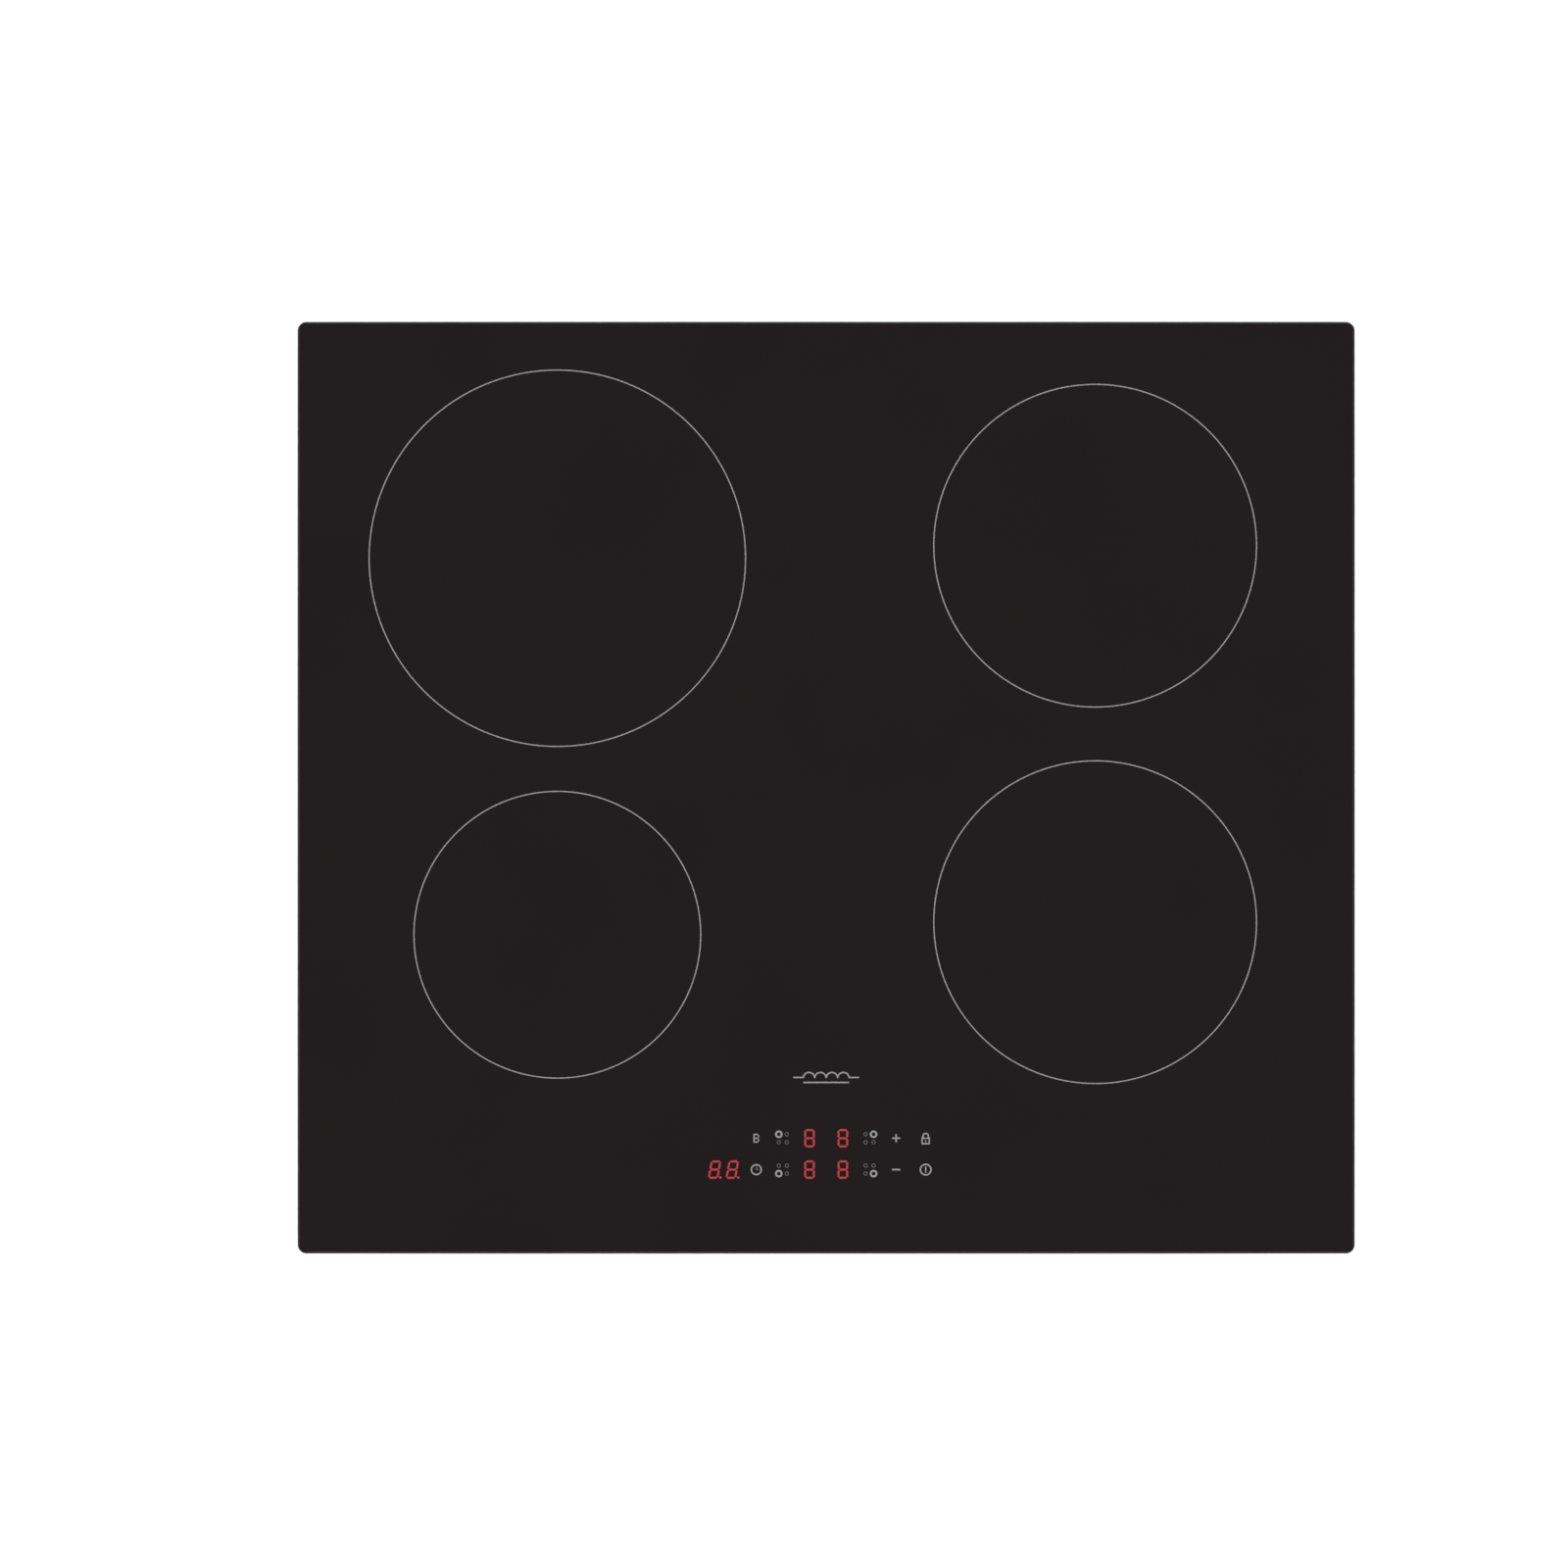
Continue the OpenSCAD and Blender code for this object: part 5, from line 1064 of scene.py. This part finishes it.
def makePowerParts(sideName, side):
    nodeName = "power_parts_" + sideName
    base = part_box(nodeName)[0].z
    case, legs = makeTransistor()
    chip = post(0, 0, 0.35 * mm, 10 * mm, 10 * mm, 1.25 * mm, 0.2 * mm)
    sides = [(sign, k) for sign in (-5.5 * mm, 5.5 * mm) for k in range(-4, 5)]
    pins = [post(x, k * mm, 0, 1.4 * mm, 0.5 * mm, 0.6 * mm, 0.1 * mm, 1) for x, k in sides]
    pins += [post(k * mm, y, 0, 0.5 * mm, 1.4 * mm, 0.6 * mm, 0.1 * mm, 1) for y, k in sides]
    models = dict(
        transistor=[("black", case), ("tinned", legs)],
        film=[("gold", filmCapacitor(32 * mm, 20 * mm, 24 * mm))],
        relay=[("gold", filmCapacitor(18 * mm, 20 * mm, 15 * mm))],
        can=[("blue", canCapacitor(5.5, 17))],
        terminal=list(zip(("white", "tinned"), screwTerminal(20 * mm, 14 * mm, 12 * mm, 2))),
        mains=list(zip(("black", "tinned"), screwTerminal(24 * mm, 18 * mm, 15 * mm, 2))),
        bigChoke=list(zip(("core", "winding"), toroid(12.6, 5.5, 15, 1.6 * mm, 8, 0.5))),
        smallChoke=list(zip(("core", "winding"), toroid(11.1, 4.8, 13, 1.4 * mm, 8, 0.5))),
        chip=[("black", chip), ("tinned", join(pins, "chipPins"))])
    # how each kind is turned on its board, and which sizes in the CAD stand for a single part
    turns = dict(transistor=0 if side > 0 else math.pi, terminal=side * math.pi / 2,
                 mains=side * math.pi / 2)
    heights = {22: "transistor", 17: "can", 12: "terminal", 15: "mains", 2: "chip"}
    groups = {}

    def put(kind, x, y):
        for group, model in models[kind]:
            groups.setdefault(group, []).append(copyOf(model, x, y, base, turns.get(kind, 0)))

    for low, high in solids(nodeName):
        centre, size = (low + high) / 2, sizeOf(low, high)
        inner, outer = (low.x, high.x) if side > 0 else (high.x, low.x)
        if size[0] == 54:
            # a film capacitor and the choke beside it
            put("film", inner + side * 16 * mm, low.y + 10 * mm)
            put("bigChoke", outer - side * 14 * mm, high.y - 14 * mm)
        elif size[0] == 52:
            put("film", inner + side * 16 * mm, high.y - 10 * mm)
            put("smallChoke", outer - side * 12 * mm, low.y + 12 * mm)
        elif size[0] == 32:
            put("film", centre.x, centre.y)
        elif size == (18, 20, 15):
            put("relay", centre.x, centre.y)
        elif size[2] in heights:
            put(heights[size[2]], centre.x, centre.y)
        else:
            models["plug"] = [("white", plug(*(high - low)))]
            put("plug", centre.x, centre.y)
            removeAll([model for group, model in models.pop("plug")])
    for parts in models.values():
        removeAll([model for group, model in parts])
    for group, name, look in (
            ("black", "blackParts", "epoxyBlack"), ("white", "whiteParts", "whitePlastic"),
            ("tinned", "tinnedParts", "tinnedLead"), ("gold", "filmCapacitors", "goldFilm"),
            ("blue", "canCapacitors", "sleeveBlue"), ("core", "chokeCores", "chokeCore"),
            ("winding", "chokeWindings", "enamelledWire")):
        dress(smooth(join(groups[group], name + sideName.capitalize())), look, "base",
              nodeName)


def makeFilterParts():
    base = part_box("filter_parts")[0].z
    names = dict(yellowFilm="filterCapacitors", chokeCore="filterChokeCore",
                 enamelledWire="filterChokeWinding", whitePlastic="filterTerminals",
                 tinnedLead="filterMetalParts", sleeveBlue="filterVaristor", tubeGlass="fuseTube")
    groups = {look: [] for look in names}
    models = []

    def put(look, model, turn=0):
        models.append(model)
        groups[look].append(copyOf(model, centre.x, centre.y, base, turn))

    for low, high in solids("filter_parts"):
        centre, size = (low + high) / 2, sizeOf(low, high)
        if size == (32, 32, 20):
            for look, model in zip(("chokeCore", "enamelledWire"), toroid(16, 7, 20, 1.8 * mm, 8, 0.9)):
                put(look, model)
        elif size in ((18, 30, 20), (12, 26, 20)):
            put("yellowFilm", filmCapacitor(*(high - low)))
        elif size[:2] == (14, 14):
            outline = [(0, 0), (6, 0), (6.8, 0.8), (7, 2.2), (6.8, 3.7), (6, 4.5), (0, 4.5)]
            put("sleeveBlue", smooth(turned(0, 0, 0, outline, 40, closed=False)))
        elif size[2] == 12:
            ways = 2 if size[0] < 30 else 4
            for look, model in zip(("whitePlastic", "tinnedLead"), screwTerminal(*(high - low), ways)):
                put(look, model, 0 if centre.y > 0.1 else math.pi)
        else:
            # the fuse: a glass tube with a cap in a springy clip at each end
            y, z, r = centre.y, low.z + 3.6 * mm, 3 * mm
            left, right = low.x + 2 * mm, high.x - 2 * mm
            body = rod(left, y, z, r * 0.86, right - left, 32, "X")
            roundEdges(body, 0.2 * mm, 2, 40)
            groups["tubeGlass"].append(smooth(body))
            for x0 in (low.x + 1.2 * mm, high.x - 7.2 * mm):
                cap = rod(x0, y, z, r, 6 * mm, 32, "X")
                roundEdges(cap, 0.5 * mm, 3, 40)
                groups["tinnedLead"].append(smooth(cap))
            for x in (low.x + 4 * mm, high.x - 4 * mm):
                foot = post(x, y, base, 3.6 * mm, 8 * mm, 1.2 * mm, 0.2 * mm)
                arms = [post(x, y + sign * 3.5 * mm, base + 1 * mm, 3.6 * mm, 0.7 * mm, 6.2 * mm, 0.15 * mm)
                        for sign in (-1, 1)]
                groups["tinnedLead"] += [foot] + arms
    removeAll(models)
    for look, group in groups.items():
        dress(smooth(join(group, names[look])), look, "base", "filter_parts")


for sideName, side in (("left", -1), ("right", 1)):
    makePowerParts(sideName, side)
makeFilterParts()
print("board parts")


# heatsinks: a base with fins that taper to rounded tips, and cross ribs on the fins

heatsink = dict(fins=9, finFoot=1.9 * mm, finTip=1.3 * mm, base=4 * mm, ripple=0.06 * mm, waves=8,
                tipRound=0.4 * mm)


def makeHeatsink(sideName):
    nodeName = "heatsink_" + sideName
    low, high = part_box(nodeName)
    h = heatsink
    pieces = [block(low, (high.x, high.y, low.z + h["base"]), 0.4 * mm)]
    foot, tip = h["finFoot"] / 2, h["finTip"] / 2
    top = high.z - low.z - h["base"] * 0.6
    side = [(foot, 0)]
    for k in range(1, h["waves"]):
        t = k / h["waves"]
        side.append((foot + (tip - foot) * t + h["ripple"] * (-1) ** k / 2, top * t))
    side += [(tip, top - h["tipRound"]), (tip - h["tipRound"], top)]
    outline = [(x, 0, z) for x, z in side] + [(-x, 0, z) for x, z in reversed(side)]
    fin = drawnOut(outline, (0, high.y - low.y, 0))
    pitch = (high.x - low.x - h["finFoot"]) / (h["fins"] - 1)
    for k in range(h["fins"]):
        pieces.append(copyOf(fin, low.x + foot + k * pitch, low.y, low.z + h["base"] * 0.6))
    removeAll([fin])
    piece = join(pieces, "heatsink" + sideName.capitalize())
    dress(smooth(piece, 25), "finAluminium", "base", nodeName)


for sideName in ("left", "right"):
    makeHeatsink(sideName)


# blowers and coil plates

for sideName in ("left", "right"):
    name = sideName.capitalize()
    asDrawn("fan_housing_" + sideName, "blowerHousing" + name, 0.35, 2, "blackPlastic")
    asDrawn("fan_rotor_" + sideName, "impeller" + name, 0.12, 2, "fanPlastic",
            "fan_" + sideName)
    asDrawn("coil_plate_" + sideName, "coilPlate" + name, 0.25, 2, "millAluminium")
print("heatsinks, blowers and coil plates")


# springs of round wire, with a closed turn at each end

def wireSpring(spring, h):
    r, wire, turns = spring["radius"], spring["wire"], spring["turns"]
    deselectAll()
    bpy.ops.mesh.primitive_circle_add(vertices=8, radius=wire / 2, location=(r, 0, 0),
                                      rotation=(math.pi / 2, 0, 0))
    coil = bpy.context.object
    applyPlace()
    wound = coil.modifiers.new("Turns", "SCREW")
    wound.axis, wound.angle, wound.iterations = "Z", 2 * math.pi, turns
    wound.screw_offset, wound.steps, wound.render_steps = (h - wire) / turns, 24, 24
    wound.use_merge_vertices = True
    bpy.ops.object.modifier_apply(modifier=wound.name)
    openMesh("EDGE")
    bpy.ops.mesh.select_non_manifold(extend=False)
    bpy.ops.mesh.edge_face_add()
    bpy.ops.mesh.select_all(action="SELECT")
    bpy.ops.mesh.normals_make_consistent(inside=False)
    objectMode()
    body = [copyOf(coil, dz=wire / 2)]
    removeAll([coil])
    for z in (wire / 2, h - wire / 2):
        bpy.ops.mesh.primitive_torus_add(major_segments=24, minor_segments=8, major_radius=r,
                                         minor_radius=wire / 2, location=(0, 0, z))
        body.append(bpy.context.object)
        applyPlace()
    return smooth(join(body, "wireSpring"), 60)


coilSpring = dict(radius=3.3 * mm, wire=0.9 * mm, turns=5, closed=0.674)
keySpring = dict(radius=3.6 * mm, wire=0.9 * mm, turns=7)


def makeCoilSprings():
    boxes = solids("coil_springs")
    low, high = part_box("coil_springs")
    model = wireSpring(coilSpring, high.z - low.z)
    for zone in zoneNames:
        zoneLow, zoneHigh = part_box("coil_carrier_" + zone)
        mine = [copyOf(model, (a.x + b.x) / 2, (a.y + b.y) / 2, a.z) for a, b in boxes
                if zoneLow.x < a.x < zoneHigh.x and zoneLow.y < a.y < zoneHigh.y]
        piece = smooth(join(mine, "coilSprings_" + zone), 60)
        dress(piece, "springSteel", "base", "coil_springs")
        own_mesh(piece)
    removeAll([model])


def makeKeySprings():
    low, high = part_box("touch_springs")
    model = wireSpring(keySpring, high.z - low.z)
    made = [copyOf(model, (a.x + b.x) / 2, (a.y + b.y) / 2, low.z) for a, b in solids("touch_springs")]
    removeAll([model])
    dress(smooth(join(made, "keySprings"), 60), "springSteel", "base", "touch_springs")


makeCoilSprings()
makeKeySprings()
print("springs")


# coil units: carrier, wound rope of fine wires, ferrite bars, mica disc and heat sensor

coil = dict(hub=22 * mm, pitch=2.6 * mm, groupGap=8 * mm, ropeRadius=1.22 * mm, strands=6,
            strandDepth=0.17 * mm, twist=0.06, step=3.2 * mm, link=math.pi / 3, ferriteRounding=0.7,
            micaRounding=0.12, micaHole=8, ropeFill=0.97)


def windingPath(centre, z, outerR):
    c = coil
    perGroup = int((outerR - c["hub"] - c["groupGap"]) / c["pitch"] / 2 + 0.0001)
    start, jump = c["hub"] + c["pitch"] / 2, outerR - perGroup * c["pitch"] + c["pitch"] / 2
    path, angle = [], 0.0
    full = 2 * math.pi
    innerEnd = full * (perGroup - 1)
    linkEnd = innerEnd + c["link"]
    total = linkEnd + full * (perGroup - 1)
    innerR = start + c["pitch"] * (perGroup - 1)
    while angle < total:
        if angle < innerEnd:
            r = start + c["pitch"] * angle / full
        elif angle < linkEnd:
            t = (angle - innerEnd) / c["link"]
            r = innerR + (jump - innerR) * t * t * (3 - 2 * t)
        else:
            r = jump + c["pitch"] * (angle - linkEnd) / full
        path.append((centre.x + r * math.cos(angle), centre.y + r * math.sin(angle), z))
        angle += c["step"] / r
    return path


# a rope whose section has a lobe for each strand and turns along its length
def makeWinding(zone):
    c = coil
    nodeName = "coil_winding_" + zone
    low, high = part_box(nodeName)
    centre = (low + high) / 2
    path = windingPath(centre, centre.z, (high.x - low.x) / 2)
    deselectAll()
    bpy.ops.curve.primitive_bezier_circle_add(radius=c["ropeRadius"])
    section = bpy.context.object
    section.data.splines.clear()
    ring = section.data.splines.new("POLY")
    count = 2 * c["strands"]
    ring.points.add(count - 1)
    ring.use_cyclic_u = True
    for k, point in enumerate(ring.points):
        r = c["ropeRadius"] - (c["strandDepth"] if k % 2 else 0)
        point.co = (r * math.cos(2 * math.pi * k / count), r * math.sin(2 * math.pi * k / count), 0, 1)
    rope, run = drawnPath(path)
    for k, point in enumerate(run.points):
        point.tilt = 2 * math.pi * k * c["step"] / c["twist"]
    rope.data.twist_mode, rope.data.bevel_mode, rope.data.bevel_object = "Z_UP", "OBJECT", section
    rope.data.use_fill_caps = True
    piece = settle(rope, "coilWinding_" + zone)
    removeAll([section])
    # the rope is pressed a little higher than it is wide
    tall = (high.z - low.z) / 2 / c["ropeRadius"] * c["ropeFill"]
    for vertex in piece.data.vertices:
        vertex.co.z = centre.z + (vertex.co.z - centre.z) * tall
    dress(smooth(piece, 50), "litzRope", "coil_" + zone, nodeName)


def makeMica(zone):
    nodeName = "mica_disc_" + zone
    low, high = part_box(nodeName)
    centre = (low + high) / 2
    r, h, e, hole = (high.x - low.x) / 2 / mm, (high.z - low.z) / mm, coil["micaRounding"], coil["micaHole"]
    piece = turned(centre.x, centre.y, low.z, [(hole + e, 0), (r - e, 0), (r, e), (r, h - e), (r - e, h),
                                               (hole + e, h), (hole, h - e), (hole, e)], 128)
    dress(smooth(settle(piece, "micaDisc_" + zone)), "mica", "coil_" + zone, nodeName)


def makeSensor(zone):
    nodeName = "heat_sensor_" + zone
    low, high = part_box(nodeName)
    centre, h = (low + high) / 2, (high.z - low.z) / mm
    collar = h - 3.5
    piece = turned(centre.x, centre.y, low.z, [
        (0, 0), (3.9, 0), (4.8, 0.7), (4.8, collar), (5.6, collar), (6, collar + 0.4), (6, h - 0.6),
        (5.5, h), (4.0, h), (3.7, h - 0.3), (2.6, h - 0.3), (2.3, h), (0, h)], 48, closed=False)
    dress(smooth(settle(piece, "heatSensor_" + zone)), "sensorCeramic", "coil_" + zone,
          nodeName)


for zone in zoneNames:
    asDrawn("coil_carrier_" + zone, "coilCarrier_" + zone, 0.25, 2, "carrierPlastic",
            "coil_" + zone)
    makeWinding(zone)
    asDrawn("ferrites_" + zone, "ferriteBars_" + zone, coil["ferriteRounding"], 2, "ferrite",
            "coil_" + zone)
    makeMica(zone)
    makeSensor(zone)
print("coil units")


# touch unit: board with its small parts, and display modules with their digit windows

touch = dict(board=1.6 * mm, moduleRounding=0.15 * mm, window=0.4 * mm, lens=0.1 * mm,
             segment=1.2 * mm, digitWidth=6.4 * mm, digitHeight=10.8 * mm, digitPitch=9.9 * mm)


def makeTouchBoard():
    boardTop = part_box("touch_board")[0].z + touch["board"]
    board = asDrawn("touch_board", "touchBoard", 0.12, 1, "touchBoard")
    paintFaces(board, "whitePlastic", lambda place, normal: place.z > boardTop + 0.2 * mm)


# each module is a shell whose face shows seven light windows for a digit
def makeDisplays():
    shells, faces = [], []
    t = touch
    for low, high in solids("display_modules"):
        centre = (low + high) / 2
        shell = block(low, high, t["moduleRounding"])
        digits = 2 if high.x - low.x > 15 * mm else 1
        across, down = t["digitWidth"] / 2 - t["segment"], t["digitHeight"] / 2 - t["segment"] / 2
        spots = [(0, k * down, 2 * across, t["segment"]) for k in (-1, 0, 1)]
        spots += [(sx * (across + t["segment"] / 2), sy * down / 2, t["segment"], down - t["segment"] * 1.5)
                  for sx in (-1, 1) for sy in (-1, 1)]
        tools = []
        for d in range(digits):
            x = centre.x + (d - (digits - 1) / 2) * t["digitPitch"]
            for dx, dy, w, h in spots:
                tools.append(post(x + dx, centre.y + dy, high.z - t["window"], w, h, mm))
                faces.append(post(x + dx, centre.y + dy, high.z - t["window"] - t["lens"], w, h,
                                  t["window"] * 0.6 + t["lens"]))
        cutWith(shell, tools)
        shells.append(smooth(shell))
    dress(join(shells, "displayModules"), "displayGrey", "base", "display_modules")
    dress(join(faces, "digitWindows"), "milkyLens", "base", "display_modules")


makeTouchBoard()
makeDisplays()
print("touch unit")


# wiring, along the routes of the CAD; places in millimetres

wiring = dict(mains=1.3, litz=1.5, thin=0.7, underPlates=-17.1, betweenBoards=-24.4, leadTop=-7.3,
              boardTop=-44.4, tagX=69.1, rearTagY=87.2, frontTagY=61.2, mainsTagY=23.2, filterOutX=18,
              filterOutY=47.9, filterInY=154.9, blockY=183.9, mainsHeight=-28.2, terminal=12,
              mainsTerminal=15, plug=6, blowerPlugX=126.1, blowerPlugY=116.2, blowerHeight=-28.5,
              blowerY=181.2, sensorX=226.1, rearSensorY=93.2, frontSensorY=-16.8, sensorTop=-11.6)


def route(*points):
    return [tuple(c * mm for c in point) for point in points]


def hop(x0, y0, z0, z, x1, y1, z1):
    return route((x0, y0, z0), (x0, y0, z), (x1, y1, z), (x1, y1, z1))


def bundle(runs, radius, corner, look, pieceName, sides=10):
    made = [tube(points, radius * mm, corner * mm, 6, sides, "wire") for points in runs]
    dress(smooth(join(made, pieceName), 60), look, "base", "wiring")


def makeWiring():
    w = wiring
    boardTop = w["boardTop"]
    for x, look, name in ((-12, "brownWire", "liveWire"), (0, "blueWire", "neutralWire"),
                          (12, "earthWire", "earthWire")):
        bundle([route((x, w["blockY"], w["mainsHeight"]), (x, w["filterInY"], w["mainsHeight"]),
                      (x, w["filterInY"], boardTop + w["terminal"]))], w["mains"], 3, look, name)
    for i, look, name in ((-1, "brownWire", "filterLiveWires"), (1, "blueWire", "filterNeutralWires")):
        bundle([hop(s * (w["filterOutX"] + 4 * i), w["filterOutY"], boardTop + w["terminal"],
                    w["betweenBoards"], s * (w["tagX"] + 4 * i), w["mainsTagY"],
                    boardTop + w["mainsTerminal"]) for s in (-1, 1)], w["mains"], 4, look, name)
    for i, look, name in ((-1, "redWire", "blowerRedWires"), (1, "blackWire", "blowerBlackWires")):
        bundle([route(*[(s * (w["blowerPlugX"] + 1.6 * i), y, z) for y, z in (
            (w["blowerY"], w["blowerHeight"]), (w["blowerPlugY"], w["blowerHeight"]),
            (w["blowerPlugY"], boardTop + w["plug"]))]) for s in (-1, 1)], w["thin"], 4, look, name)
    coilRuns, sensorRuns = [], []
    for zone in zoneNames:
        centre = middle("coil_carrier_" + zone) / mm
        s = -1 if "left" in zone else 1
        rear = "rear" in zone
        tagY = w["rearTagY"] if rear else w["frontTagY"]
        for i in (-1, 1):
            coilRuns.append(hop(centre.x - s * 8, centre.y + 5 * i, w["leadTop"], w["underPlates"],
                                s * w["tagX"], tagY + 5 * i, boardTop + w["terminal"]))
        sensorRuns.append(hop(centre.x + s * 2, centre.y, w["sensorTop"], w["underPlates"], s * w["sensorX"],
                              w["rearSensorY"] if rear else w["frontSensorY"], boardTop + w["plug"]))
    bundle(coilRuns, w["litz"], 4, "litzSleeve", "coilLeads", 12)
    bundle(sensorRuns, w["thin"], 4, "whiteWire", "sensorLeads", 8)


# the flat cable: a ribbon whose ten cores stand out as ridges
ribbon = dict(cores=10, width=10, startX=62, startY=-181.75, startZ=-5, bendY=-174.6, endX=83.1,
              endY=-48.8, corner=2.2)


def makeRibbon():
    r = ribbon
    low = wiring["betweenBoards"]
    line = route((r["startX"], r["startY"], r["startZ"]), (r["startX"], r["bendY"], r["startZ"]),
                 (r["startX"], r["bendY"], low), (r["endX"], r["endY"], low),
                 (r["endX"], r["endY"], wiring["boardTop"] + wiring["plug"]))
    pitch = r["width"] / r["cores"]
    cores = []
    for k in range(r["cores"]):
        x = (k - (r["cores"] - 1) / 2) * pitch * mm
        cores.append(tube([(p[0] + x, p[1], p[2]) for p in line], pitch / 2 * mm, r["corner"] * mm, 6, 8,
                          "core"))
    dress(smooth(join(cores, "flatCable"), 60), "greyCable", "base", "wiring")


makeWiring()
makeRibbon()
print("wiring")


# end of the build

print("build finished")
